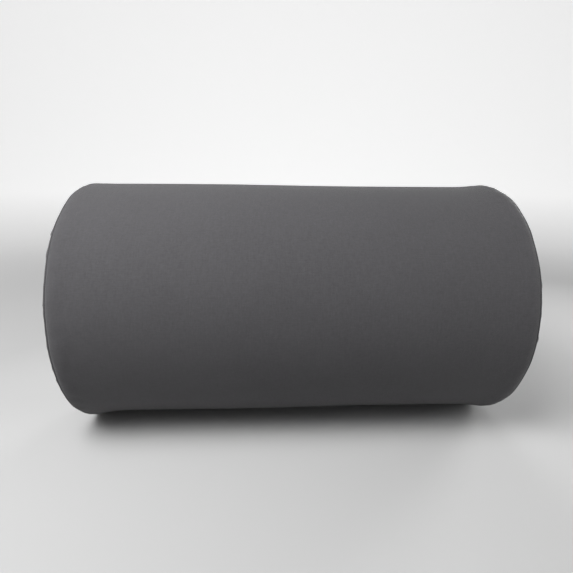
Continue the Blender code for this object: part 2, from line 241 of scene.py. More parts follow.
def grid_quads(rows: int, columns: int, wrap_columns: bool = False, wrap_rows: bool = False) -> Array:
    """The quads of a grid of points whose rows follow each other in one list.

    Args:
        rows: The number of rows.
        columns: The number of points in a row.
        wrap_columns: Whether each row is a closed ring.
        wrap_rows: Whether the last row joins the first.

    Returns:
        An array of four point numbers a quad.
    """
    row, column = np.meshgrid(
        np.arange(rows if wrap_rows else rows - 1),
        np.arange(columns if wrap_columns else columns - 1),
        indexing="ij",
    )
    next_row, next_column = (row + 1) % rows, (column + 1) % columns
    corners = (
        row * columns + column,
        row * columns + next_column,
        next_row * columns + next_column,
        next_row * columns + column,
    )
    return np.stack(corners, axis=-1).reshape(-1, 4)


def middle_fan(first: int, count: int, middle: int) -> Array:
    """The quads that close a ring to a point at its middle.

    Args:
        first: The number of the ring's first point.
        count: How many points the ring has, which is even.
        middle: The number of the middle point.

    Returns:
        An array of four point numbers a quad.
    """
    step = np.arange(0, count, 2)
    corners = [first + (step + further) % count for further in range(3)]
    return np.stack([*corners, np.full(len(step), middle)], axis=1)


def end_faces(rows: int, columns: int) -> list[list[int]]:
    """The two faces that close the first and last rings of a tube.

    Args:
        rows: How many rings the tube has.
        columns: How many points a ring has.

    Returns:
        Two rows of point numbers.
    """
    return [list(range(row * columns, (row + 1) * columns)) for row in (0, rows - 1)]


def normals_of(points: Array, quads: Array) -> Array:
    """Each point's unit normal, from the quads round it.

    Args:
        points: The points.
        quads: The quads that join them.

    Returns:
        The normals, point by point.
    """
    a, b, c, d = (points[quads[:, i]] for i in range(4))
    crossed = np.cross(c - a, d - b)
    total = np.zeros_like(points)
    for i in range(4):
        np.add.at(total, quads[:, i], crossed)
    return total / np.maximum(np.linalg.norm(total, axis=1, keepdims=True), 1e-12)


def thicken(points: Array, quads: Array, thickness: float, lip_steps: int = 4) -> tuple[Array, Array]:
    """Gives a sheet its thickness, inwards from its outer face, with rounded edges.

    Args:
        points: The points of the outer face.
        quads: Its quads, which turn anticlockwise seen from outside.
        thickness: How thick the cloth is.
        lip_steps: How many quads go round a raw edge.

    Returns:
        The points and quads of the closed solid.
    """
    used, quads = np.unique(quads, return_inverse=True)
    points, quads = points[used], quads.reshape(-1, 4)
    normals = normals_of(points, quads)
    count = len(points)
    edges = np.concatenate([quads[:, [i, (i + 1) % 4]] for i in range(4)])
    keys = {(a, b) for a, b in edges.tolist()}
    rim = np.array([(a, b) for a, b in edges.tolist() if (b, a) not in keys], int).reshape(-1, 2)
    solid = [points, points - normals * thickness]
    faces = [quads, quads[:, ::-1] + count]
    if len(rim):
        outwards = np.zeros_like(points)
        along = points[rim[:, 1]] - points[rim[:, 0]]
        along /= np.maximum(np.linalg.norm(along, axis=1, keepdims=True), 1e-12)
        for end in (0, 1):
            np.add.at(outwards, rim[:, end], np.cross(along, normals[rim[:, end]]))
        lip = np.unique(rim)
        away = outwards[lip] / np.maximum(np.linalg.norm(outwards[lip], axis=1, keepdims=True), 1e-12)
        place = np.full(count, -1)
        place[lip] = np.arange(len(lip))
        ladders = [rim]
        for step in range(1, lip_steps):
            turn = math.pi * step / lip_steps
            middle = points[lip] - normals[lip] * thickness / 2
            reach = math.cos(turn) * normals[lip] + math.sin(turn) * away
            ladders.append(place[rim] + 2 * count + (step - 1) * len(lip))
            solid.append(middle + reach * thickness / 2)
        ladders.append(rim + count)
        for near, far in zip(ladders, ladders[1:]):
            faces.append(np.stack([near[:, 1], near[:, 0], far[:, 0], far[:, 1]], axis=1))
    return np.concatenate(solid), np.concatenate(faces)


def tubes(paths: Sequence[Array], radius: float, sides: int = 6) -> tuple[Array, list[list[int]]]:
    """Round threads or wires along paths.

    Args:
        paths: The points that each wire follows.
        radius: The wire's radius.
        sides: How many flat sides stand in for its round.

    Returns:
        Points and faces of all the wires, each a closed solid.
    """
    points: list[Array] = []
    faces: list[list[int]] = []
    start = 0
    turn = math.tau * np.arange(sides) / sides
    for path in paths:
        along = np.gradient(path, axis=0)
        along /= np.linalg.norm(along, axis=1, keepdims=True)
        side = np.cross(along, ASIDE)
        side /= np.linalg.norm(side, axis=1, keepdims=True)
        other = np.cross(along, side)
        ring = np.cos(turn)[None, :, None] * side[:, None] + np.sin(turn)[None, :, None] * other[:, None]
        points.append((path[:, None] + radius * ring).reshape(-1, 3))
        faces += (grid_quads(len(path), sides, wrap_columns=True) + start).tolist()
        last = start + (len(path) - 1) * sides
        faces.append(list(range(start + sides - 1, start - 1, -1)))
        faces.append(list(range(last, last + sides)))
        start = last + sides
    return np.concatenate(points), faces


def new_mesh(name: str, points: Array, faces: Any) -> bpy.types.Mesh:
    """A smooth mesh whose faces all point outwards.

    Args:
        name: The mesh's name.
        points: Its points.
        faces: Its faces, as rows of point numbers.

    Returns:
        The mesh.
    """
    mesh = bpy.data.meshes.new(name)
    rows = faces.tolist() if isinstance(faces, np.ndarray) else faces
    mesh.from_pydata(points.tolist(), [], rows)
    shell = bmesh.new()
    shell.from_mesh(mesh)
    bmesh.ops.recalc_face_normals(shell, faces=shell.faces)
    shell.to_mesh(mesh)
    shell.free()
    mesh.shade_smooth()
    return mesh


def add_object(mesh: bpy.types.Mesh, material: bpy.types.Material) -> bpy.types.Object:
    """Links a mesh into the scene with its material.

    Args:
        mesh: The mesh.
        material: Its only material.

    Returns:
        The object.
    """
    mesh.materials.clear()
    mesh.materials.append(material)
    made = bpy.data.objects.new(mesh.name, mesh)
    bpy.context.scene.collection.objects.link(made)
    return made


def finished_mesh(made: bpy.types.Object, name: str) -> bpy.types.Mesh:
    """The mesh of an object with its modifiers applied. The object is removed.

    Args:
        made: The object with its modifiers.
        name: The new mesh's name.

    Returns:
        The mesh.
    """
    graph = bpy.context.evaluated_depsgraph_get()
    mesh = bpy.data.meshes.new_from_object(made.evaluated_get(graph))
    old = made.data
    bpy.data.objects.remove(made)
    bpy.data.meshes.remove(old)
    mesh.name = name
    return mesh


def settle(
    made: bpy.types.Object, body: str, nodes: Sequence[str] = ()
) -> bpy.types.Object:
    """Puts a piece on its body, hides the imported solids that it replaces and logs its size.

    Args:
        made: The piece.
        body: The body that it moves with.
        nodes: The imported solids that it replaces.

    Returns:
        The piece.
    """
    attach(made, body)
    if nodes:
        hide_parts(*nodes)
    size = ", ".join(f"{1000 * length:.1f}" for length in made.dimensions)
    LOG.info("%s: %s mm, %d faces, on %s", made.name, size, len(made.data.polygons), body)
    return made


# ---------------------------------------------------------------- shaders


@dataclass(frozen=True)
class Value:
    """A number that varies over a surface. Python's operators add its Math nodes."""

    shader: Shader
    socket: bpy.types.NodeSocket

    def __add__(self, other: Value | float) -> Value:
        """This plus another."""
        return self.shader.math("ADD", self, other)

    def __sub__(self, other: Value | float) -> Value:
        """This less another."""
        return self.shader.math("SUBTRACT", self, other)

    def __rsub__(self, other: float) -> Value:
        """A number less this."""
        return self.shader.math("SUBTRACT", other, self)

    def __mul__(self, other: Value | float) -> Value:
        """This times another."""
        return self.shader.math("MULTIPLY", self, other)

    def __truediv__(self, other: Value | float) -> Value:
        """This over another."""
        return self.shader.math("DIVIDE", self, other)

    def __mod__(self, other: float) -> Value:
        """What is left of this over a number, never negative."""
        return self.shader.math("FLOORED_MODULO", self, other)

    def __pow__(self, other: float) -> Value:
        """This to a power."""
        return self.shader.math("POWER", self, other)

    def __lt__(self, other: float) -> Value:
        """One where this is under a number, else zero."""
        return self.shader.math("LESS_THAN", self, other)

    def __abs__(self) -> Value:
        """This without its sign."""
        return self.shader.math("ABSOLUTE", self)

    __radd__ = __add__
    __rmul__ = __mul__

    def floor(self) -> Value:
        """This rounded down."""
        return self.shader.math("FLOOR", self)

    def sine(self) -> Value:
        """The sine of this."""
        return self.shader.math("SINE", self)


class Shader:
    """A material's nodes, round one Principled shader."""

    def __init__(self, name: str) -> None:
        """Starts a material.

        Args:
            name: The material's name.
        """
        self.material = bpy.data.materials.new(name)
        self.material.use_nodes = True
        self.tree = self.material.node_tree
        self.tree.nodes.clear()

    def node(
        self, kind: str, settings: dict[str, Any] | None = None, inputs: dict[Any, Any] | None = None
    ) -> bpy.types.Node:
        """Adds a node.

        Args:
            kind: The node's type.
            settings: Its settings, which are set first.
            inputs: The values or links of its sockets.

        Returns:
            The node.
        """
        made = self.tree.nodes.new(kind)
        for name, setting in (settings or {}).items():
            setattr(made, name, setting)
        for name, given in (inputs or {}).items():
            socket = given.socket if isinstance(given, Value) else given
            if isinstance(socket, bpy.types.NodeSocket):
                self.tree.links.new(socket, made.inputs[name])
            else:
                made.inputs[name].default_value = socket
        return made

    def math(self, operation: str, *terms: Value | float) -> Value:
        """One Math node on values and numbers."""
        made = self.node("ShaderNodeMath", {"operation": operation}, dict(enumerate(terms)))
        return Value(self, made.outputs[0])

    def clamp(self, value: Value, low: float = 0.0, high: float = 1.0) -> Value:
        """A value held between two numbers."""
        return self.math("MINIMUM", self.math("MAXIMUM", value, low), high)

    def place(self) -> tuple[Value, Value, Value]:
        """The surface's own place, in metres.

        Returns:
            The place's three parts.
        """
        place = self.node("ShaderNodeTexCoord").outputs["Object"]
        parts = self.node("ShaderNodeSeparateXYZ", inputs={0: place}).outputs
        return Value(self, parts[0]), Value(self, parts[1]), Value(self, parts[2])

    def noise(self, along: Any, across: Any, through: Any, size: float, detail: float = 2.0) -> Value:
        """Cloudy noise, mostly between 0.3 and 0.7.

        Args:
            along: The first coordinate, in metres.
            across: The second coordinate.
            through: The third coordinate.
            size: How large a cloud is, in metres.
            detail: How many finer layers it has.

        Returns:
            The noise.
        """
        place = self.node("ShaderNodeCombineXYZ", inputs={0: along, 1: across, 2: through})
        made = self.node(
            "ShaderNodeTexNoise",
            {"noise_dimensions": "3D"},
            {"Vector": place.outputs[0], "Scale": 1 / size, "Detail": detail, "Roughness": 0.55},
        )
        return Value(self, made.outputs["Fac"])

    def mix(self, factor: Value, low: Any, high: Any) -> bpy.types.NodeSocket:
        """Blends two colours.

        Args:
            factor: How much of the second.
            low: The first colour, or a link to it.
            high: The second colour, or a link to it.

        Returns:
            The blended colour's socket.
        """
        ends = [(*end, 1.0) if isinstance(end, tuple) else end for end in (low, high)]
        made = self.node("ShaderNodeMix", {"data_type": "RGBA"}, {0: factor, 6: ends[0], 7: ends[1]})
        return made.outputs[2]

    def finish(
        self, height: Value | None, depth: float, inputs: dict[str, Any]
    ) -> bpy.types.Material:
        """Joins colour, gloss and relief up to the Principled shader.

        Args:
            height: The relief, from 0 to 1.
            depth: How deep the relief is, in metres.
            inputs: The shader's other sockets.

        Returns:
            The material.
        """
        if height is not None:
            relief = self.node("ShaderNodeBump", inputs={"Distance": depth, "Height": height})
            inputs = {**inputs, "Normal": relief.outputs[0]}
        surface = self.node("ShaderNodeBsdfPrincipled", inputs=inputs)
        self.node("ShaderNodeOutputMaterial", inputs={0: surface.outputs[0]})
        return self.material


class Weave(Enum):
    """How threads cross: the length of the repeat, how many of it lie over, and the shift a row."""

    PLAIN = (2, 1, 1)
    TWILL = (4, 2, 1)
    SATIN = (5, 4, 2)


class Lie(Enum):
    """Which way a cloth's threads run."""

    ROUND_THE_ROLL = "along the roll and round it"
    ACROSS_THE_END = "level and upright, across an end"


@dataclass(frozen=True)
class WovenCloth:
    """A woven cloth."""

    name: str
    colour: Colour
    weave: Weave = Weave.PLAIN
    lie: Lie = Lie.ROUND_THE_ROLL
    thread: float = 0.45 * MM
    relief: float = 0.09 * MM
    # how much darker the colour is painted between the threads, as painted shade in the gaps
    shade: float = 0.35
    mottle: float = 0.10
    slub: float = 0.06
    speck: float = 0.22
    roughness: float = 0.9
    sheen: float = 0.09

    def threads(self, shader: Shader, along: Value, across: Value) -> Value:
        """How high the threads stand.

        Args:
            shader: The material; not used.
            along: The first thread direction, in metres.
            across: The second.

        Returns:
            Heights from 0, between threads, to 1, on top of one.
        """
        cycle, over, step = self.weave.value
        row, column = along / self.thread, across / self.thread
        ridge_a = abs((row * math.pi).sine())
        ridge_b = abs((column * math.pi).sine())
        warp = (row.floor() * step + column.floor()) % cycle < over
        warp_height = ridge_b**0.6 * (0.55 + 0.45 * ridge_a)
        weft_height = ridge_a**0.6 * (0.55 + 0.45 * ridge_b)
        return warp * warp_height + (1 - warp) * weft_height

    def material(self, roll: Roll) -> bpy.types.Material:
        """Makes the cloth's material.

        Args:
            roll: The pillow, whose curve the threads follow.

        Returns:
            The material.
        """
        shader = Shader(self.name)
        x, y, z = shader.place()
        level = z - roll.axis_height
        if self.lie is Lie.ROUND_THE_ROLL:
            sideways = y * -roll.down[1] + level * -roll.down[2]
            inwards = y * -roll.outward[1] + level * -roll.outward[2]
            along, across = x, shader.math("ARCTAN2", sideways, inwards) * roll.radius
        else:
            along, across = y, level
        height = self.threads(shader, along, across)
        slub_a = shader.noise(along * 0.14, across, 0.0, 0.7 * MM, 1.0)
        slub_b = shader.noise(along, across * 0.14, 1.0, 0.7 * MM, 1.0)
        speck = shader.noise(along, across, 2.0, 1.5 * MM, 2.0)
        fuzz = shader.noise(along, across, x, 0.25 * MM, 2.0)
        cloud = shader.noise(x, y, z, 45 * MM, 3.0)
        slubs = slub_a + slub_b - 1.0
        # painted shade: the colour darkens where the threads lie low, between them; the slubs, mottle,
        # fuzz and specks are the yarn's own random tone
        tone = 1.0 - self.shade * (1 - height) + self.slub * 3.0 * slubs + self.mottle * (cloud - 0.5)
        tone = tone + (fuzz - 0.5) * 0.25 + (speck - 0.5) * self.speck
        dark = tuple(0.35 * part for part in self.colour)
        light = tuple(1.25 * part for part in self.colour)
        colour = shader.mix((tone - 0.35) / 0.9, dark, light)
        relief = height * 0.7 + slubs * 0.5 + fuzz * 0.25
        return shader.finish(relief, self.relief, {
            "Base Color": colour,
            "Roughness": self.roughness,
            "Sheen Weight": self.sheen,
            "Sheen Roughness": 0.5,
            "Specular IOR Level": 0.25,
        })


@dataclass(frozen=True)
class Thread:
    """Spun sewing thread."""

    name: str
    colour: Colour
    twist: float = 0.35 * MM

    def material(self) -> bpy.types.Material:
        """Makes the thread's material: plies that twist round it, with painted shade in the grooves
        between them.

        Returns:
            The material.
        """
        shader = Shader(self.name)
        x, y, z = shader.place()
        plies = ((x + y * 0.8 + z * 0.9) * (math.tau / self.twist)).sine() * 0.5 + 0.5
        fuzz = shader.noise(x, y, z, 0.12 * MM)
        dark = tuple(0.55 * part for part in self.colour)
        # painted shade: the colour darkens in the grooves between the plies, mixed with random fuzz
        colour = shader.mix(plies * 0.7 + fuzz * 0.4, dark, self.colour)
        return shader.finish(plies + fuzz * 0.5, 0.04 * MM, {
            "Base Color": colour,
            "Roughness": 0.65,
            "Sheen Weight": 0.2,
            "Specular IOR Level": 0.35,
        })


@dataclass(frozen=True)
class Nylon:
    """Extruded nylon wire."""

    name: str
    colour: Colour

    def material(self) -> bpy.types.Material:
        """Makes the nylon's material: nearly smooth, with faint wear.

        Returns:
            The material.
        """
        shader = Shader(self.name)
        x, y, z = shader.place()
        wear = shader.noise(x, y, z, 1.5 * MM, 3.0)
        light = tuple(1.5 * part for part in self.colour)
        return shader.finish(shader.noise(x, y, z, 0.3 * MM), 0.015 * MM, {
            "Base Color": shader.mix(wear, self.colour, light),
            "Roughness": 0.32 + wear * 0.2,
        })


@dataclass(frozen=True)
class PlatedMetal:
    """Die-cast metal with a dark plating that has worn at its edges."""

    name: str
    colour: Colour
    bare: Colour = (0.34, 0.33, 0.32)

    def material(self) -> bpy.types.Material:
        """Makes the metal's material.

        Returns:
            The material.
        """
        shader = Shader(self.name)
        x, y, z = shader.place()
        grain = shader.noise(x, y, z, 0.35 * MM, 3.0)
        patch = shader.noise(x, y, z, 2.5 * MM, 2.0)
        edge = Value(shader, shader.node("ShaderNodeNewGeometry").outputs["Pointiness"])
        worn = shader.clamp((edge - 0.53) * 9.0 * (patch * 1.3), 0.0, 0.85)
        return shader.finish(grain, 0.012 * MM, {
            "Base Color": shader.mix(worn, self.colour, self.bare),
            "Metallic": 1.0,
            "Roughness": 0.3 + grain * 0.15 + patch * 0.08,
        })


@dataclass(frozen=True)
class Stuffing:
    """Foam or wadding: pores or matted fibres all through."""

    name: str
    colour: Colour
    pore: float
    relief: float
    stretch: float = 1.0

    def material(self) -> bpy.types.Material:
        """Makes the stuffing's material, darker in its pores as painted shade.

        Returns:
            The material.
        """
        shader = Shader(self.name)
        x, y, z = shader.place()
        cells = shader.noise(x * self.stretch, y, z, self.pore, 3.0)
        cloud = shader.noise(x, y, z, 30 * MM, 3.0)
        dark = tuple(0.72 * part for part in self.colour)
        # painted shade: the colour darkens where the cells lie low, in the pores and between fibres; the
        # cloud is random tone
        colour = shader.mix((cells - 0.3) * 2.0 + (cloud - 0.5) * 0.5, dark, self.colour)
        return shader.finish(cells, self.relief, {
            "Base Color": colour,
            "Roughness": 0.95,
            "Sheen Weight": 0.1,
            "Specular IOR Level": 0.2,
        })


@dataclass(frozen=True)
class PaleFloor:
    """A plain pale studio floor that sweeps up far away, where it glows as if lit from behind."""

    name: str = "studio_floor"
    near: Colour = (0.40, 0.40, 0.40)
    far: Colour = (0.80, 0.80, 0.80)
    glow: Colour = (0.68, 0.68, 0.68)
    start: float = 0.3
    end: float = 1.7
    glow_in_front: float = 0.08

    def material(self) -> bpy.types.Material:
        """Makes the floor's material.

        Returns:
            The material.
        """
        shader = Shader(self.name)
        x, y, _ = shader.place()
        away = (x * x + y * y) ** 0.5
        share = shader.clamp((away - self.start) / (self.end - self.start))
        behind = shader.clamp(y / (away + 1 * MM) * 0.5 + 0.5)
        glow = share * (self.glow_in_front + (1 - self.glow_in_front) * behind)
        return shader.finish(None, 0.0, {
            "Base Color": shader.mix(share, self.near, self.far),
            "Roughness": 0.9,
            "Emission Color": shader.mix(glow, (0.0, 0.0, 0.0), self.glow),
            "Emission Strength": 1.0,
        })


@dataclass
class Finishes:
    """Every finish on the pillow, made once."""

    roll: Roll
    charcoal: Colour = (0.066, 0.0645, 0.0685)
    dark_thread: Colour = (0.05, 0.049, 0.052)
    made: dict[str, bpy.types.Material] = field(default_factory=dict)

    def __post_init__(self) -> None:
        """Makes the materials."""
        cloths = (
            WovenCloth("cover_cloth", self.charcoal),
            WovenCloth("cover_end_cloth", self.charcoal, lie=Lie.ACROSS_THE_END),
            WovenCloth("liner_cloth", (0.74, 0.73, 0.70), thread=0.6 * MM, shade=0.15, mottle=0.04),
            WovenCloth(
                "liner_end_cloth", (0.74, 0.73, 0.70), thread=0.6 * MM, shade=0.15, mottle=0.04,
                lie=Lie.ACROSS_THE_END,
            ),
            WovenCloth("zip_tape_cloth", (0.045, 0.044, 0.047), weave=Weave.TWILL, thread=0.5 * MM),
            WovenCloth(
                "label_satin_cloth", (0.80, 0.80, 0.79), weave=Weave.SATIN, thread=0.2 * MM,
                relief=0.02 * MM, shade=0.08, mottle=0.02, slub=0.02, roughness=0.5,
                lie=Lie.ACROSS_THE_END,
            ),
        )
        for cloth in cloths:
            self.made[cloth.name] = cloth.material(self.roll)
        others = (
            Thread("cover_thread", self.dark_thread),
            Thread("liner_thread", (0.72, 0.71, 0.68)),
            Nylon("coil_nylon", (0.035, 0.034, 0.036)),
            PlatedMetal("gunmetal", (0.115, 0.115, 0.12)),
            Stuffing("wadding_fibre", (0.84, 0.84, 0.83), 0.8 * MM, 0.3 * MM, stretch=0.3),
            Stuffing("open_foam", (0.80, 0.76, 0.60), 1.1 * MM, 0.25 * MM),
        )
        for finish in others:
            self.made[finish.name] = finish.material()

    def __getitem__(self, name: str) -> bpy.types.Material:
        """The material of a finish."""
        return self.made[name]


# ---------------------------------------------------------------- how the cloth lies


@dataclass
class Gathers:
    """The gathers that the end seams pull into the cover, from a cloth simulation.

    The cover is laid out as a tube with a disc at each end, the seams are drawn in, and the cloth is
    blown up from inside. What differs from the mean round each ring is kept as a small relief.
    """

    roll: Roll
    columns: int = 216
    seam_rows: int = 14
    row_step: float = 3.0 * MM
    middle_rows: int = 14
    seam_shrink: float = 0.05
    pressure: float = 3.0
    frames: int = 18
    roughness: float = 0.35 * MM
    tube_height: float = 0.32 * MM
    disc_height: float = 1.1 * MM
    pucker: float = 0.55 * MM
    seed: int = 7
    reliefs: dict[str, Array] = field(default_factory=dict)

    def edge_steps(self) -> Array:
        """Distances from an end seam of the rows near it."""
        return np.arange(self.seam_rows) * self.row_step

    def rings(self) -> list[tuple[float, float]]:
        """The x and radius of each ring, from inside the left disc to inside the right one.

        Returns:
            Pairs of x and radius.
        """
        reach = self.roll.tube_x
        disc = [(reach, self.roll.radius - step) for step in self.edge_steps()[1:]]
        near = [(reach - step, self.roll.radius) for step in self.edge_steps()]
        inner = reach - self.edge_steps()[-1]
        middle = np.linspace(inner, -inner, self.middle_rows + 2)[1:-1]
        right = [*near, *((x, self.roll.radius) for x in middle)]
        left = [(-x, radius) for x, radius in near]
        return [*reversed(disc), *right, *reversed(left), *((-x, radius) for x, radius in disc)]

    def start(self) -> bpy.types.Object:
        """The cloth before it is drawn in, slightly rough so that it can gather.

        Returns:
            The cloth, with a vertex group for the seams and one for the rings that are held.
        """
        phase = math.tau * np.arange(self.columns) / self.columns
        arcs = phase * self.roll.radius
        lines = {
            side: waves(phase, range(19, 52), np.random.default_rng(self.seed + side.value))
            for side in Side
        }
        rings = self.rings()
        rows = []
        for x, radius in rings:
            line = lines[Side.RIGHT if x > 0 else Side.LEFT]
            fade = bump(max(self.roll.tube_x - abs(x), self.roll.radius - radius), 12 * MM)
            rows.append(self.roll.around(x, arcs, radius + self.roughness * fade * line))
        quads = grid_quads(len(rows), self.columns, wrap_columns=True)
        made = add_object(new_mesh("gathers", np.concatenate(rows), quads), self.plain())
        seam = made.vertex_groups.new(name="seam")
        held = made.vertex_groups.new(name="held")
        for number, (x, radius) in enumerate(rings):
            ring = list(range(number * self.columns, (number + 1) * self.columns))
            from_seam = max(self.roll.tube_x - abs(x), self.roll.radius - radius)
            if from_seam < self.row_step / 2:
                seam.add(ring, 1.0, "REPLACE")
            if number in (0, len(rings) - 1):
                held.add(ring, 1.0, "REPLACE")
        return made

    def plain(self) -> bpy.types.Material:
        """A material for the cloth while it is simulated."""
        return bpy.data.materials.new("gathers")

    def simulate(self) -> Array:
        """Runs the simulation.

        Returns:
            The cloth's points at the end, by ring and column.
        """
        made = self.start()
        cloth = made.modifiers.new("cloth", "CLOTH")
        settings = cloth.settings
        settings.quality = 5
        settings.mass = 0.25
        settings.tension_stiffness = 20
        settings.compression_stiffness = 20
        settings.shear_stiffness = 6
        settings.bending_stiffness = 0.6
        settings.use_pressure = True
        settings.uniform_pressure_force = self.pressure
        settings.effector_weights.gravity = 0
        settings.vertex_group_mass = "held"
        settings.vertex_group_shrink = "seam"
        settings.shrink_max = self.seam_shrink
        cloth.collision_settings.use_collision = False
        scene = bpy.context.scene
        for frame in range(1, self.frames + 1):
            scene.frame_set(frame)
        graph = bpy.context.evaluated_depsgraph_get()
        settled = made.evaluated_get(graph).to_mesh()
        points = np.zeros(len(settled.vertices) * 3)
        settled.vertices.foreach_get("co", points)
        scene.frame_set(1)
        bpy.data.objects.remove(made)
        return points.reshape(-1, self.columns, 3)

    def puckers(self, right: bool) -> Array:
        """The fine puckers that the stitches pull into an end, by ring from its middle and column.

        Args:
            right: Whether the end is the right one.

        Returns:
            Heights by ring and column.
        """
        phase = math.tau * np.arange(self.columns) / self.columns
        line = waves(phase, (29, 43, 57), np.random.default_rng(self.seed + 20 + right))
        near = bump(self.edge_steps()[::-1] - 5 * MM, 8 * MM)
        return self.pucker * near[:, None] * line[None, :]

    def settle(self) -> None:
        """Finds the relief of the tube and of each disc, and evens out its height."""
        points = self.simulate()
        centre = np.array((0.0, 0.0, self.roll.axis_height))
        heights = np.linalg.norm((points - centre)[..., 1:], axis=-1)
        inner = self.seam_rows - 1
        fields = {
            "disc_right": points[: inner + 1, :, 0],
            "tube": heights[inner : len(points) - inner],
            "disc_left": -points[len(points) - inner - 1 :, :, 0][::-1],
        }
        for name, values in fields.items():
            relief = values - values.mean(axis=1, keepdims=True)
            limit = self.tube_height if name == "tube" else self.disc_height
            most = max(float(np.quantile(np.abs(relief), 0.995)), 1e-9)
            self.reliefs[name] = np.clip(relief * min(1.0, limit / most), -1.3 * limit, 1.3 * limit)
            if name != "tube":
                self.reliefs[name] += self.puckers(name == "disc_right")
            LOG.info("gathers on %s: up to %.2f mm before evening", name, 1000 * most)

    def sample(self, name: str, row: Array, arc: Array) -> Array:
        """Reads a relief smoothly between its points.

        Args:
            name: Which relief.
            row: The ring's number, with a fraction.
            arc: Distances round the roll.

        Returns:
            Heights.
        """
        grid = self.reliefs[name]
        row, arc = np.broadcast_arrays(row, arc)
        column = (arc / (math.tau * self.roll.radius)) % 1.0 * self.columns
        row = np.clip(row, 0, len(grid) - 1)
        total = np.zeros(row.shape)
        first_row, first_column = np.floor(row).astype(int), np.floor(column).astype(int)
        for down in range(-1, 3):
            for along in range(-1, 3):
                weight = self.kernel(row - first_row - down) * self.kernel(column - first_column - along)
                picked_row = np.clip(first_row + down, 0, len(grid) - 1)
                total += weight * grid[picked_row, (first_column + along) % self.columns]
        return total

    @staticmethod
    def kernel(distance: Array) -> Array:
        """The weight of a point at a distance, for a smooth curve through the points.

        Args:
            distance: How far off the point is, counted in points.

        Returns:
            The weights.
        """
        near = np.abs(distance)
        inside = 1.5 * near**3 - 2.5 * near**2 + 1
        outside = -0.5 * near**3 + 2.5 * near**2 - 4 * near + 2
        return np.where(near <= 1, inside, np.where(near < 2, outside, 0.0))

    def on_tube(self, x: Array, arc: Array) -> Array:
        """The relief of the tube at places along and round it.

        Args:
            x: Places along the roll.
            arc: Distances round the roll.

        Returns:
            Heights.
        """
        edge = self.edge_steps()
        inner = self.roll.tube_x - edge[-1]
        places = [*(self.roll.tube_x - edge), *np.linspace(inner, -inner, self.middle_rows + 2)[1:-1]]
        places = np.array([*places, *(edge - self.roll.tube_x)[::-1]])
        row = np.interp(-np.asarray(x, float), -places, np.arange(len(places)))
        return self.sample("tube", row, arc)

    def on_disc(self, side: Side, from_seam: Array, arc: Array) -> Array:
        """The relief of an end at distances in from its seam and round it.

        Args:
            side: Which end.
            from_seam: Distances in from the seam.
            arc: Distances round the roll.

        Returns:
            Heights.
        """
        last = self.edge_steps()[-1]
        row = (self.seam_rows - 1) * (1 - np.clip(from_seam, 0, last) / last)
        return self.sample(f"disc_{side.word}", row, arc) * smooth_step((last - from_seam) / (0.5 * last))


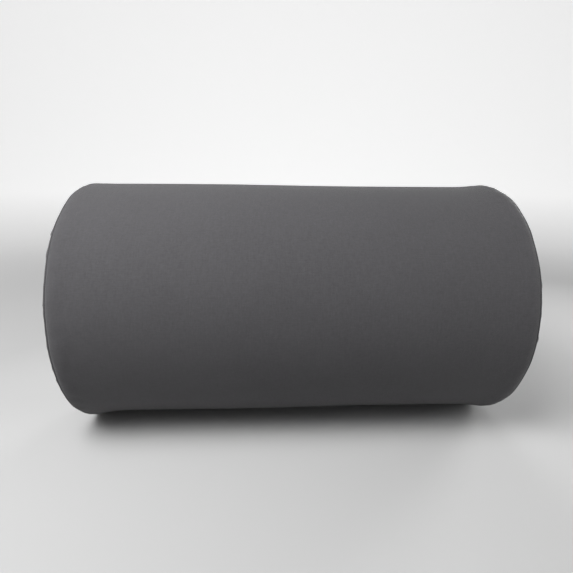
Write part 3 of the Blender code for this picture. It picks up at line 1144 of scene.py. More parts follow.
@dataclass
class CoverSurface:
    """The outer face of the cover's tube: where it flares to its seams, sags and gathers."""

    roll: Roll
    gathers: Gathers
    slot_end: float
    slot_half: float
    flare_height: dict[Side, float] = field(
        default_factory=lambda: {Side.LEFT: 1.3 * MM, Side.RIGHT: 2.2 * MM}
    )
    flare_length: dict[Side, float] = field(
        default_factory=lambda: {Side.LEFT: 20 * MM, Side.RIGHT: 30 * MM}
    )
    droop: dict[Side, float] = field(
        default_factory=lambda: {Side.LEFT: 3.2 * MM, Side.RIGHT: 0.8 * MM}
    )
    droop_length: float = 34 * MM
    droop_way: tuple[float, float] = (-0.5, -0.866)
    zip_calm: float = 18 * MM
    zip_fade: float = 34 * MM
    hem_rise: float = 0.22 * MM
    hem_width: float = 1.6 * MM
    stitch_line: float = 3.2 * MM
    stitch_dent: float = 0.22 * MM
    seam_depth: float = 0.85 * MM
    seam_width: float = 1.0 * MM
    floor_ease: float = 0.6 * MM

    def near_zip(self, arc: Array) -> Array:
        """One beside the zip, where its tapes hold the cloth straight, and zero away from it."""
        return 1 - smooth_step((self.roll.from_zip(arc) - self.zip_calm) / self.zip_fade)

    def radius_at(self, x: Array, arc: Array) -> Array:
        """How far the outer face lies from the axis.

        Args:
            x: Places along the roll.
            arc: Distances round the roll from the zip.

        Returns:
            The distances.
        """
        x, arc = np.broadcast_arrays(np.asarray(x, float), np.asarray(arc, float))
        angle = arc / self.roll.radius
        way = np.array((0.0, *self.droop_way))
        facing = np.cos(angle) * (self.roll.outward @ way) + np.sin(angle) * (self.roll.down @ way)
        share = smooth_step(0.5 + x / (120 * MM))
        waist = (1 - share) * self.flare_height[Side.LEFT] + share * self.flare_height[Side.RIGHT]
        loose = -waist
        for side in Side:
            from_seam = np.maximum(self.roll.tube_x - x * side.value, 0.0)
            rise = np.clip(1 - from_seam / self.flare_length[side], 0, 1) ** 2
            sag = np.clip(1 - from_seam / self.droop_length, 0, 1) ** 2 * np.exp(-5 * (1 - facing))
            loose = loose + self.droop[side] * sag + waist * rise
        slow = 0.22 * MM * np.sin(2 * angle + 1.1) * np.sin(x / (46 * MM))
        slow = slow + 0.16 * MM * np.sin(3 * angle + 0.4) * np.cos(x / (31 * MM) + 0.8)
        free = 1 - self.near_zip(arc)
        loose = loose + slow + self.gathers.on_tube(x, arc)
        return self.roll.radius + free * loose + self.zip_relief(x, arc)

    def zip_relief(self, x: Array, arc: Array) -> Array:
        """The turned hems beside the zip, their stitching and the closed seam beyond it.

        Args:
            x: Places along the roll.
            arc: Distances round the roll from the zip.

        Returns:
            Heights to add.
        """
        away = self.roll.from_zip(arc)
        open_part = smooth_step((self.slot_end + 1 * MM - np.abs(x)) / (4 * MM))
        hem = self.hem_rise * bump(away - self.slot_half - self.hem_width / 2, self.hem_width)
        dent = self.stitch_dent * bump(away - self.slot_half - self.stitch_line, 0.9 * MM)
        closed = smooth_step((np.abs(x) - self.slot_end) / (3 * MM))
        seam = self.seam_depth * bump(away, self.seam_width) - 0.2 * MM * bump(away - 2 * MM, 1.5 * MM)
        return open_part * (hem - dent) - closed * seam

    def points(self, x: Array, arc: Array, lift: Array | float = 0.0, floor: float = 0.0) -> Array:
        """Points on the outer face or above it, pressed flat where they would pass the floor.

        Args:
            x: Places along the roll.
            arc: Distances round the roll from the zip.
            lift: How far above the face.
            floor: The height that the points are pressed to.

        Returns:
            The points.
        """
        found = self.roll.around(x, arc, self.radius_at(x, arc) + lift)
        height = found[..., 2] - floor
        found[..., 2] = floor + (height + np.sqrt(height**2 + self.floor_ease**2)) / 2
        return found


# ---------------------------------------------------------------- the cover


@dataclass
class Cover:
    """The fabric cover: a tube with a slot for the zip, an end panel at each end, and their sewing."""

    surface: CoverSurface
    finishes: Finishes
    cloth: float = 0.9 * MM
    fold_length: float = 9.0 * MM
    fold_depth: float = 4.2 * MM
    allowance: float = 9.5 * MM
    slot_end_half: float = 1.0 * MM
    slot_taper: float = 5.0 * MM
    panel_drop: float = 3.2 * MM
    panel_power: float = 3.0
    panel_edge: float = 0.56
    panel_rings: int = 40
    panel_columns: int = 330
    thread: float = 0.20 * MM
    stitch: float = 2.4 * MM
    stitch_gap: float = 0.6 * MM

    @property
    def roll(self) -> Roll:
        """The pillow's place and sizes."""
        return self.surface.roll

    def column_arcs(self) -> Array:
        """Distances round the roll of the tube's columns, fine beside the zip.

        Returns:
            The distances, from the far line round to it again.
        """
        half, far = self.surface.slot_half, self.roll.half_round
        pieces = (
            np.linspace(0, 2.1 * MM, 7, endpoint=False),
            np.linspace(2.1 * MM, half, 5, endpoint=False),
            np.linspace(half, half + 5 * MM, 10, endpoint=False),
            np.linspace(half + 5 * MM, 20 * MM, 7, endpoint=False),
            np.linspace(20 * MM, far, 118),
        )
        one_side = np.concatenate(pieces)
        return np.concatenate([-one_side[:0:-1], one_side[:-1]])

    def profile(self) -> Array:
        """The tube's x and drop below its face, row by row, from inside one fold to inside the other.

        Returns:
            An x and a drop for each row.
        """
        outer, end = self.roll.tube_x, self.surface.slot_end
        body = outer - self.fold_length
        turn = np.linspace(0, math.pi / 2, 13)
        fold = [
            (body + self.fold_length * math.sin(a), self.fold_depth * (1 - math.cos(a))) for a in turn
        ]
        flange = [(outer, drop) for drop in np.linspace(self.fold_depth, self.allowance, 5)[1:]]
        near = np.linspace(end, body, 16, endpoint=False)
        taper = np.linspace(end - 12 * MM, end, 12, endpoint=False)
        middle = np.linspace(0, end - 12 * MM, 40, endpoint=False)
        half = [(x, 0.0) for x in (*middle, *taper, *near)] + fold + flange
        return np.array([(-x, drop) for x, drop in half[:0:-1]] + half)

    def taper(self, x: Array, arcs: Array) -> Array:
        """Moves the columns in where the slot narrows to the closed seam.

        Args:
            x: The rows' places along the roll.
            arcs: The columns' distances round the roll.

        Returns:
            Distances round the roll, by row and column.
        """
        half = self.surface.slot_half
        beyond = np.abs(x) - self.surface.slot_end
        inside = np.clip(1 + beyond / self.slot_taper, 0, 1)
        open_half = self.slot_end_half + (half - self.slot_end_half) * np.sqrt(1 - inside**2)
        back = self.slot_end_half + (half - self.slot_end_half) * smooth_step(beyond / (9 * MM))
        width = np.where(beyond > 0, back, open_half)[:, None]
        away = np.abs(arcs)[None, :]
        fade = 1 - smooth_step((away - half) / (14 * MM))
        moved = np.where(away <= half, away * width / half, away - (half - width) * fade)
        return np.sign(arcs)[None, :] * moved

    def build_tube(self) -> bpy.types.Object:
        """Makes the tube panel with its slot.

        Returns:
            The tube panel.
        """
        profile, arcs = self.profile(), self.column_arcs()
        x, drop = profile[:, 0], profile[:, 1]
        placed = self.taper(x, arcs)
        points = self.surface.points(x[:, None], placed, -drop[:, None]).reshape(-1, 3)
        quads = grid_quads(len(x), len(arcs), wrap_columns=True)
        row, column = np.divmod(quads[:, 0], len(arcs))
        near, far = arcs[column], arcs[(column + 1) % len(arcs)]
        middle_x = (x[row] + x[np.minimum(row + 1, len(x) - 1)]) / 2
        half = self.surface.slot_half * 1.001
        in_slot = (np.abs(middle_x) < self.surface.slot_end) & (np.abs(near) < half) & (np.abs(far) < half)
        in_slot &= drop[row] == 0
        points, quads = thicken(points, quads[~in_slot][:, ::-1], self.cloth)
        made = add_object(new_mesh("cover_tube", points, quads), self.finishes["cover_cloth"])
        return settle(made, "pillow", ["cover_tube_panel"])

    def panel_x(self, share: Array) -> Array:
        """How far along X an end panel's face lies, from its middle (0) to its seam (1)."""
        height = self.roll.dome_x - self.roll.panel_x
        return self.roll.panel_x + height * (1 - share**self.panel_power) ** self.panel_edge

    def build_panel(self, side: Side) -> bpy.types.Object:
        """Makes one domed end panel.

        Args:
            side: Which end.

        Returns:
            The panel.
        """
        arcs = np.linspace(0, 2 * self.roll.half_round, self.panel_columns, endpoint=False)
        rim = self.surface.points(side.value * self.roll.tube_x, arcs, -self.panel_drop)
        centre = np.array((0.0, 0.0, self.roll.axis_height))
        shares = 1 - np.linspace(0, 1, self.panel_rings) ** 1.9 * 0.985
        rings = []
        for share in shares:
            ring = centre + (rim - centre) * share
            from_seam = self.roll.radius * (1 - share)
            gather = self.surface.gathers.on_disc(side, from_seam, arcs)
            fade = smooth_step((1 - share) * 30)
            ring[:, 0] = side.value * (self.panel_x(share) + gather * fade)
            rings.append(ring)
        middle = np.array([[side.value * self.roll.dome_x, 0.0, self.roll.axis_height]])
        points = np.concatenate([*rings, middle])
        quads = grid_quads(len(rings), len(arcs), wrap_columns=True)
        fan = middle_fan((len(rings) - 1) * len(arcs), len(arcs), len(points) - 1)
        quads = np.concatenate([quads, fan])
        if side is Side.RIGHT:
            quads = quads[:, ::-1]
        points, quads = thicken(points, quads, self.cloth)
        mesh = new_mesh(f"cover_panel_{side.word}", points, quads)
        made = add_object(mesh, self.finishes["cover_end_cloth"])
        return settle(made, "pillow", [f"cover_end_{side.word}"])

    def dashes(self, x: Array, arc: Array, lift: float, sink: float) -> list[Array]:
        """Stitches along a line on the cover, each dipping into the cloth at its ends.

        Args:
            x: The line's places along the roll.
            arc: The line's distances round the roll.
            lift: How far above the face a stitch's middle lies.
            sink: How far its ends dip below that.

        Returns:
            A path for each stitch.
        """
        line = self.surface.points(x, arc)
        travelled = np.concatenate([[0], np.cumsum(np.linalg.norm(np.diff(line, axis=0), axis=1))])
        count = int(travelled[-1] / (self.stitch + self.stitch_gap))
        starts = (np.arange(count) + 0.1) * travelled[-1] / count
        share = np.linspace(0, 1, 7)
        lifts = lift - sink * (2 * share - 1) ** 6
        paths = []
        for start in starts:
            at = start + self.stitch * share
            here, there = np.interp(at, travelled, x), np.interp(at, travelled, arc)
            paths.append(self.surface.points(here, there, lifts))
        return paths

    def add_threads(self, name: str, paths: Sequence[Array], nodes: Sequence[str]) -> bpy.types.Object:
        """Makes one object of sewing thread along paths.

        Args:
            name: The object's name.
            paths: The points that each stitch follows.
            nodes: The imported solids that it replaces.

        Returns:
            The thread.
        """
        points, faces = tubes(paths, self.thread)
        made = add_object(new_mesh(name, points, faces), self.finishes["cover_thread"])
        return settle(made, "pillow", nodes)

    def build_seam(self, side: Side) -> bpy.types.Object:
        """Makes the stitches that show down in the groove of an end seam.

        Args:
            side: Which end.

        Returns:
            The stitches.
        """
        arcs = np.linspace(0, 2 * self.roll.half_round, 1200)
        x = np.full(arcs.shape, side.value * (self.roll.tube_x + 0.15 * MM))
        paths = self.dashes(x, arcs, -self.panel_drop - 0.35 * MM, 0.25 * MM)
        return self.add_threads(f"end_seam_stitches_{side.word}", paths, [f"end_seam_thread_{side.word}"])

    def build_topstitch(self, row: Row) -> bpy.types.Object:
        """Makes the row of stitches that holds a hem to the zip's tape.

        Args:
            row: Which side of the zip.

        Returns:
            The stitches.
        """
        x = np.linspace(-self.surface.slot_end + 1 * MM, self.surface.slot_end - 1 * MM, 900)
        arc = np.full(x.shape, row.value * (self.surface.slot_half + self.surface.stitch_line))
        paths = self.dashes(x, arc, 0.12 * MM, 0.45 * MM)
        return self.add_threads(f"zip_topstitch_{row.word}", paths, [f"zip_stitch_{row.word}"])

    def build_bar_tack(self, side: Side, low: float, high: float) -> bpy.types.Object:
        """Makes the block of close stitches across one end of the slot.

        Args:
            side: Which end of the slot.
            low: Where the block starts, along X.
            high: Where it stops.

        Returns:
            The bar tack.
        """
        passes = 9
        reach = self.surface.slot_half * 0.86
        paths = []
        for number in range(passes):
            share = np.linspace(-1, 1, 15)
            slant = (high - low) / passes
            x = low + (number + 0.5 + 0.35 * share * (-1) ** number) * slant
            lift = 0.30 * MM - 0.5 * MM * share**8 + 0.03 * MM * (number % 3)
            paths.append(self.surface.points(x, reach * share, lift))
        return self.add_threads(f"zip_bar_tack_{side.word}", paths, [f"bar_tack_{side.word}"])

    def build(self) -> list[bpy.types.Object]:
        """Makes the whole cover apart from the zip.

        Returns:
            The cover's pieces.
        """
        tube = self.build_tube()
        length = 2 * (self.roll.tube_x + self.allowance)
        2 * self.roll.half_round
        made = [tube]
        for side in Side:
            panel = self.build_panel(side)
            width = 2 * self.roll.radius
            math.pi * self.roll.radius**2
            made += [panel, self.build_seam(side)]
        made += [self.build_topstitch(row) for row in Row]
        for side in Side:
            low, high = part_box(f"bar_tack_{side.word}")
            made.append(self.build_bar_tack(side, low.x, high.x))
        return made


# ---------------------------------------------------------------- what the cover holds


@dataclass
class Insert:
    """The pillow inside the cover: a foam core, its wadding and the sewn liner."""

    surface: CoverSurface
    finishes: Finishes
    core_radius: float
    core_x: float
    tube_x: float
    dome_gap: float = 1.75 * MM
    liner: float = 0.5 * MM
    liner_inset: float = 1.25 * MM
    liner_fold: float = 3.0 * MM
    disc_step: float = 0.2 * MM
    disc_drop: float = 2.2 * MM
    wadding_inset: float = 2.1 * MM
    pad_depth: float = 7.4 * MM
    pad_drop: float = 3.4 * MM
    pad_gap: float = 2.75 * MM
    clear: float = 0.35 * MM
    flange_room: float = 10.0 * MM
    dip_depth: float = 2.4 * MM
    dip_half: float = 9.8 * MM
    dip_fade: float = 17 * MM
    columns: int = 200
    lumps: float = 0.8 * MM

    @property
    def roll(self) -> Roll:
        """The pillow's place and sizes."""
        return self.surface.roll

    @property
    def arcs(self) -> Array:
        """Distances round the roll of the columns."""
        return np.linspace(-self.roll.half_round, self.roll.half_round, self.columns, endpoint=False)

    def dip(self, arc: Array) -> Array:
        """How far the insert is pressed in beneath the zip."""
        share = (self.roll.from_zip(arc) - self.dip_half) / self.dip_fade
        return self.dip_depth * (1 - smooth_step(share))

    def ring(self, x: float, inset: float, drop: float = 0.0) -> Array:
        """A ring of points this far inside the cover's face, and a further drop in.

        Args:
            x: The ring's place along the roll.
            inset: How far inside the cover's face.
            drop: How much further in.

        Returns:
            The ring's points.
        """
        return self.surface.points(x, self.arcs, -inset - drop - self.dip(self.arcs), inset)

    def folded_rows(self, reach: float, fold: float, count: int = 40) -> list[tuple[float, float]]:
        """Rows of a tube whose ends curve in: each row's x and drop.

        Args:
            reach: Where the tube ends along the roll.
            fold: The radius that its end curves in by.
            count: How many rows each half has before the fold.

        Returns:
            Pairs of x and drop.
        """
        body = reach - fold
        turn = np.linspace(0, math.pi / 2, 7)
        half = [(x, 0.0) for x in np.linspace(0, body, count, endpoint=False)]
        half += [(body + fold * math.sin(a), fold * (1 - math.cos(a))) for a in turn]
        return [(-x, drop) for x, drop in half[:0:-1]] + half

    def cap(self, side: Side, inset: float, x_rim: float, drop: float, gap: float) -> Array:
        """The rings of an end's face, from its rim to just off its middle.

        Args:
            side: Which end.
            inset: How far the rim lies inside the cover's face.
            x_rim: Where the rim lies along the roll.
            drop: How much further in the rim lies.
            gap: How far the middle lies behind the cover's end panel.

        Returns:
            Points by ring and column.
        """
        rim = self.ring(side.value * x_rim, inset, drop)
        centre = np.array((0.0, 0.0, self.roll.axis_height))
        rings = []
        for share in 1 - np.linspace(0, 1, 26) ** 1.4 * 0.98:
            ring = centre + (rim - centre) * share
            depth = (self.roll.radius - inset - drop) * (1 - share) + inset + drop - self.flange_room
            height = self.roll.dome_x - gap - x_rim
            rise = height * (1 - (share * 1.04) ** 3) * smooth_step(max(depth, 0.0) / (14 * MM))
            ring[:, 0] = side.value * (x_rim + max(rise, 0.0))
            rings.append(ring)
        return np.array(rings)

    def sheet_mesh(
        self, name: str, rings: Array, thickness: float, flip: bool, close: bool
    ) -> bpy.types.Mesh:
        """A cloth mesh through rings.

        Args:
            name: The mesh's name.
            rings: Points by ring and column.
            thickness: The cloth's thickness, inwards.
            flip: Whether the faces need turning to face outwards.
            close: Whether the last ring is closed with a point at its middle.

        Returns:
            The mesh.
        """
        count = rings.shape[1]
        points = rings.reshape(-1, 3)
        quads = grid_quads(len(rings), count, wrap_columns=True)
        if close:
            quads = np.concatenate([quads, middle_fan(len(points) - count, count, len(points))])
            points = np.concatenate([points, rings[-1].mean(axis=0, keepdims=True)])
        if flip:
            quads = quads[:, ::-1]
        return new_mesh(name, *thicken(points, quads, thickness))

    def build_liner(self) -> list[bpy.types.Object]:
        """Makes the liner's tube, its end discs and their stitches.

        Returns:
            The liner's pieces.
        """
        rows = self.folded_rows(self.tube_x, self.liner_fold)
        rings = np.array([self.ring(x, self.liner_inset, drop) for x, drop in rows])
        mesh = self.sheet_mesh("liner_tube_sheet", rings, self.liner, flip=True, close=False)
        tube = add_object(mesh, self.finishes["liner_cloth"])
        settle(tube, "pillow", ["liner_tube"])
        size = (2 * self.roll.half_round, 2 * self.tube_x)
        made = [tube]
        for side in Side:
            rim_x = self.tube_x + self.disc_step
            rings = self.cap(side, self.liner_inset, rim_x, self.disc_drop, self.dome_gap)
            mesh = self.sheet_mesh(f"liner_disc_{side.word}", rings, self.liner, side is Side.RIGHT, True)
            disc = add_object(mesh, self.finishes["liner_end_cloth"])
            settle(disc, "pillow", [f"liner_end_{side.word}"])
            width = 2 * self.roll.radius
            area = math.pi * self.roll.radius**2
            made += [disc, self.build_liner_seam(side)]
        return made

    def build_liner_seam(self, side: Side) -> bpy.types.Object:
        """Makes the overlocked stitches along one of the liner's seams.

        Args:
            side: Which end.

        Returns:
            The stitches.
        """
        pitch = 3.0 * MM
        count = int(2 * self.roll.half_round / pitch)
        share = np.linspace(0, 1, 5)
        paths = []
        for number in range(count):
            arc = (number + share * 0.8) * pitch
            x = side.value * (self.tube_x - 1.5 * MM + 1.4 * MM * share)
            lift = -self.liner_inset - 1.0 * MM - 1.3 * MM * share**2 - self.dip(arc)
            paths.append(self.surface.points(x, arc, lift, self.liner_inset))
        points, faces = tubes(paths, 0.18 * MM)
        made = add_object(
            new_mesh(f"liner_stitches_{side.word}", points, faces), self.finishes["liner_thread"]
        )
        return settle(made, "pillow", [f"liner_seam_thread_{side.word}"])

    def build_wadding(self) -> list[bpy.types.Object]:
        """Makes the wadding's wrap and end pads.

        Returns:
            The wadding's pieces.
        """
        generator = np.random.default_rng(11)
        places = np.linspace(-self.core_x, self.core_x, 60)
        phase = self.arcs / self.roll.radius
        lump = sum(
            np.outer(np.sin(places * k + generator.uniform(0, 6)), waves(phase, (5, 9, 14), generator))
            for k in (60, 130, 240)
        ) / 3
        outer = np.array([
            self.surface.points(
                x, self.arcs, -self.wadding_inset - self.dip(self.arcs)
                - self.lumps * (0.5 + 0.5 * lump[number]), self.wadding_inset,
            )
            for number, x in enumerate(places)
        ])
        bore = self.core_radius + self.clear
        inner = np.array([self.roll.around(x, self.arcs, bore) for x in places[::-1]])
        rings = np.concatenate([outer, inner])
        quads = grid_quads(len(rings), self.columns, wrap_columns=True, wrap_rows=True)
        mesh = new_mesh("wadding_roll", rings.reshape(-1, 3), quads)
        wrap = add_object(mesh, self.finishes["wadding_fibre"])
        settle(wrap, "pillow", ["wadding_wrap"])
        made = [wrap]
        for side in Side:
            rim_x = self.core_x + self.pad_depth
            front = self.cap(side, self.wadding_inset, rim_x, self.pad_drop, self.pad_gap)
            back = front[::-1].copy()
            back[..., 0] = side.value * (self.core_x + self.clear)
            rings = np.concatenate([front, back])
            mesh = self.pad_mesh(f"wadding_pad_{side.word}", rings)
            pad = add_object(mesh, self.finishes["wadding_fibre"])
            settle(pad, "pillow", [f"wadding_end_{side.word}"])
            made.append(pad)
        return made

    def pad_mesh(self, name: str, rings: Array) -> bpy.types.Mesh:
        """A closed solid through rings that start and end near the roll's axis.

        Args:
            name: The mesh's name.
            rings: Points by ring and column.

        Returns:
            The mesh.
        """
        count = rings.shape[1]
        quads = grid_quads(len(rings), count, wrap_columns=True).tolist()
        half = len(rings) // 2
        order = np.concatenate([np.arange(half)[::-1], np.arange(half, len(rings))[::-1]])
        points = rings[order].reshape(-1, 3)
        return new_mesh(name, points, quads + end_faces(len(rings), count))

    def build_core(self) -> bpy.types.Object:
        """Makes the foam core, with its cut edges slightly crushed.

        Returns:
            The core.
        """
        crush = 2.5 * MM
        rows = self.folded_rows(self.core_x, crush, 30)
        generator = np.random.default_rng(5)
        phase = self.arcs / self.roll.radius
        rings = []
        for x, drop in rows:
            saw = 0.12 * MM * waves(phase, (7, 16, 33), generator)
            rings.append(self.roll.around(x, self.arcs, self.core_radius - 0.15 * MM - drop + saw))
        ring = rings[-1] - (0.0, 0.0, self.roll.axis_height)
        for share in (0.85, 0.6, 0.3, 0.05):
            face = ring * (1.0, share, share) + (0.0, 0.0, self.roll.axis_height)
            rings.append(face)
            rings.insert(0, face * (-1.0, 1.0, 1.0))
        quads = grid_quads(len(rings), self.columns, wrap_columns=True).tolist()
        faces = quads + end_faces(len(rings), self.columns)
        mesh = new_mesh("foam_roll", np.concatenate(rings), faces)
        made = add_object(mesh, self.finishes["open_foam"])
        settle(made, "pillow", ["foam_core"])
        return made

    def build(self) -> list[bpy.types.Object]:
        """Makes the whole insert."""
        return [self.build_core(), *self.build_wadding(), *self.build_liner()]


@dataclass
class CareLabel:
    """A blank woven label, caught in the right end seam and lying inside the end panel."""

    cover: Cover
    finishes: Finishes
    angle: float = math.radians(-40)
    width: float = 20 * MM
    length: float = 35 * MM
    thickness: float = 0.25 * MM
    gap: float = 1.35 * MM
    root: float = 10.3 * MM

    def build(self) -> bpy.types.Object:
        """Makes the label, with a faint curl down its length.

        Returns:
            The label.
        """
        roll = self.cover.roll
        way = np.array((0.0, math.cos(self.angle), math.sin(self.angle)))
        across = np.array((0.0, -way[2], way[1]))
        down = np.linspace(0, self.length, 29)
        over = np.linspace(-self.width / 2, self.width / 2, 17)
        from_axis = (roll.radius - self.root - down)[:, None]
        share = np.hypot(from_axis, over[None, :]) / (roll.radius - self.cover.panel_drop)
        points = from_axis[..., None] * way + over[None, :, None] * across
        curl = 0.10 * MM * np.sin(down / (7 * MM))[:, None] * np.cos(over / (8 * MM))[None, :]
        points[..., 0] = self.cover.panel_x(np.minimum(share, 1.0)) - self.gap + curl
        points[..., 2] += roll.axis_height
        quads = grid_quads(len(down), len(over))
        solid, faces = thicken(points.reshape(-1, 3), quads, self.thickness)
        mesh = new_mesh("care_label_strip", solid, faces)
        made = add_object(mesh, self.finishes["label_satin_cloth"])
        settle(made, "pillow", ["care_label"])
        return made


# ---------------------------------------------------------------- the zip


@dataclass
class Zip:
    """The coil zip: its tapes, its two rows of coil and its stops."""

    roll: Roll
    finishes: Finishes
    tape: float = 0.6 * MM
    tape_edges: tuple[float, float] = (1.5 * MM, 16 * MM)
    tape_ribs: float = 0.12 * MM
    pitch: float = 1.5 * MM
    wire: float = 0.30 * MM
    loop_middle: float = 0.9 * MM
    loop_reach: float = 1.74 * MM
    loop_half: float = 0.69 * MM
    steps: int = 20

    def in_place(self, mesh: bpy.types.Mesh) -> bpy.types.Mesh:
        """Moves a mesh from the zip's frame to the pillow's."""
        mesh.transform(self.roll.matrix())
        return mesh

    def build_tape(self, row: Row) -> bpy.types.Object:
        """Makes one tape: a woven strip that follows the cover's curve.

        Args:
            row: Which side of the zip.

        Returns:
            The tape.
        """
        name = f"zip_tape_{row.word}"
        low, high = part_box(name)
        top = self.roll.measure(bpy.data.objects[name])[1][2]
        inner, outer = self.tape_edges
        arcs = row.value * np.linspace(inner, outer, 19)
        x = np.linspace(low.x, high.x, 141)
        rise = self.tape_ribs * np.abs(np.sin(arcs / (3.1 * MM)))
        points = self.roll.around(x[:, None], arcs[None, :], top - self.tape_ribs + rise[None, :])
        quads = grid_quads(len(x), len(arcs))
        if row is Row.UPPER:
            quads = quads[:, ::-1]
        thickness = self.tape - self.tape_ribs
        solid, faces = thicken(points.reshape(-1, 3), quads[:, ::-1], thickness)
        mesh = new_mesh(f"zip_tape_{row.word}_cloth", solid, faces)
        made = add_object(mesh, self.finishes["zip_tape_cloth"])
        settle(made, "pillow", [name])
        outer - inner
        return made

    def build_coil(self, row: Row) -> bpy.types.Object:
        """Makes one row of coil: a flattened spring whose loops mesh with the other row's.

        Args:
            row: Which side of the zip.

        Returns:
            The row of coil.
        """
        name = f"zip_chain_{row.word}"
        low, high = self.roll.measure(bpy.data.objects[name])
        start = low[0] + self.wire + (self.pitch / 2 if row is Row.LOWER else 0.0)
        turns = int((high[0] - self.wire - start) / self.pitch)
        turn = np.linspace(0, math.tau * turns, turns * self.steps + 1)
        across, up = np.cos(turn), np.sin(turn)
        shaped = np.sign(across) * np.abs(across) ** 0.75
        path = np.stack([
            start + self.pitch * turn / math.tau + 0.12 * MM * np.sin(2 * turn),
            row.value * (self.loop_middle - self.loop_reach * shaped),
            (low[2] + high[2]) / 2 + self.loop_half * np.sign(up) * np.abs(up) ** 0.7,
        ], axis=1)
        points, faces = tubes([path], self.wire, 8)
        mesh = self.in_place(new_mesh(f"zip_coil_{row.word}", points, faces))
        made = add_object(mesh, self.finishes["coil_nylon"])
        return settle(made, "pillow", [name])

    def build_coil_sewing(self, row: Row) -> bpy.types.Object:
        """Makes the two lines of thread that sew a row of coil to its tape.

        Args:
            row: Which side of the zip.

        Returns:
            The thread.
        """
        low, high = self.roll.measure(bpy.data.objects[f"zip_chain_{row.word}"])
        share = np.linspace(0, 1, 7)
        paths = []
        for line in (1.75 * MM, 2.35 * MM):
            for x in np.arange(low[0], high[0] - 1.6 * MM, self.pitch):
                top = high[2] - 0.14 * MM - 0.35 * MM * (2 * share - 1) ** 4
                side = np.full(7, row.value * line)
                paths.append(np.stack([x + 1.35 * MM * share, side, top], axis=1))
        points, faces = tubes(paths, 0.13 * MM, 5)
        mesh = self.in_place(new_mesh(f"zip_coil_sewing_{row.word}", points, faces))
        return settle(add_object(mesh, self.finishes["cover_thread"]), "pillow")

    def build_stop(self, name: str) -> bpy.types.Object:
        """Makes one stop: a pressed metal clip with rounded edges and a dimple.

        Args:
            name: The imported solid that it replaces.

        Returns:
            The stop.
        """
        low, high = self.roll.measure(bpy.data.objects[name])
        middle, size = (low + high) / 2, high - low
        shell = bmesh.new()
        bmesh.ops.create_cube(shell, size=1.0)
        bmesh.ops.scale(shell, vec=tuple(size), verts=shell.verts)
        upright = [e for e in shell.edges if abs(e.verts[0].co.z - e.verts[1].co.z) > size[2] / 2]
        bmesh.ops.bevel(
            shell, geom=upright, offset=0.42 * MM, segments=4, profile=0.5, affect="EDGES"
        )
        flat = [e for e in shell.edges if abs(e.calc_face_angle(0.0)) > 1.2 and e.verts[0].co.z > 0]
        bmesh.ops.bevel(shell, geom=flat, offset=0.35 * MM, segments=4, profile=0.5, affect="EDGES")
        top = [f for f in shell.faces if f.normal.z > 0.99]
        dented = bmesh.ops.inset_region(shell, faces=top, thickness=0.3 * MM, depth=-0.14 * MM)
        dimple = list(dict.fromkeys(e for f in dented["faces"] for e in f.edges))
        bmesh.ops.bevel(
            shell, geom=dimple, offset=0.06 * MM, segments=2, profile=0.5, affect="EDGES"
        )
        bmesh.ops.translate(shell, vec=tuple(middle), verts=shell.verts)
        mesh = bpy.data.meshes.new(f"{name}_clip")
        bmesh.ops.recalc_face_normals(shell, faces=shell.faces)
        shell.to_mesh(mesh)
        shell.free()
        mesh.shade_smooth()
        made = add_object(self.in_place(mesh), self.finishes["gunmetal"])
        return settle(made, "pillow", [name])

    def build(self) -> list[bpy.types.Object]:
        """Makes the zip apart from its slider.

        Returns:
            The zip's pieces.
        """
        made = []
        for row in Row:
            made += [self.build_tape(row), self.build_coil(row), self.build_coil_sewing(row)]
            made.append(self.build_stop(f"zip_top_stop_{row.word}"))
        made.append(self.build_stop("zip_bottom_stop"))
        return made


def plate(
    name: str, outline: Sequence[tuple[float, float]], low: float, high: float, edge: float
) -> bpy.types.Object:
    """A plate with rounded edges.

    Args:
        name: The plate's name.
        outline: Its outline in X and Y.
        low: Its underside's height.
        high: Its top's height.
        edge: The radius of its edges.

    Returns:
        The plate as an object with a bevel that is not yet applied.
    """
    count = len(outline)
    points = [(x, y, z) for z in (low, high) for x, y in outline]
    faces = [list(range(count - 1, -1, -1)), list(range(count, 2 * count))]
    faces += [[i, (i + 1) % count, count + (i + 1) % count, count + i] for i in range(count)]
    made = bpy.data.objects.new(name, new_mesh(name, np.array(points), faces))
    bpy.context.scene.collection.objects.link(made)
    bevel = made.modifiers.new("edges", "BEVEL")
    bevel.width, bevel.segments, bevel.limit_method = edge, 3, "ANGLE"
    bevel.angle_limit = math.radians(50)
    return made


def superellipse(half_x: float, half_y: float, power: float, count: int = 48) -> list[tuple[float, float]]:
    """A rounded rectangle's outline, anticlockwise.

    Args:
        half_x: Half its length.
        half_y: Half its width.
        power: How square it is: 2 for an ellipse, and more for squarer corners.
        count: How many points it has.

    Returns:
        The outline's points.
    """
    found = []
    for number in range(count):
        turn = math.tau * (number + 0.5) / count
        x, y = math.cos(turn), math.sin(turn)
        found.append((
            half_x * math.copysign(abs(x) ** (2 / power), x),
            half_y * math.copysign(abs(y) ** (2 / power), y),
        ))
    return found


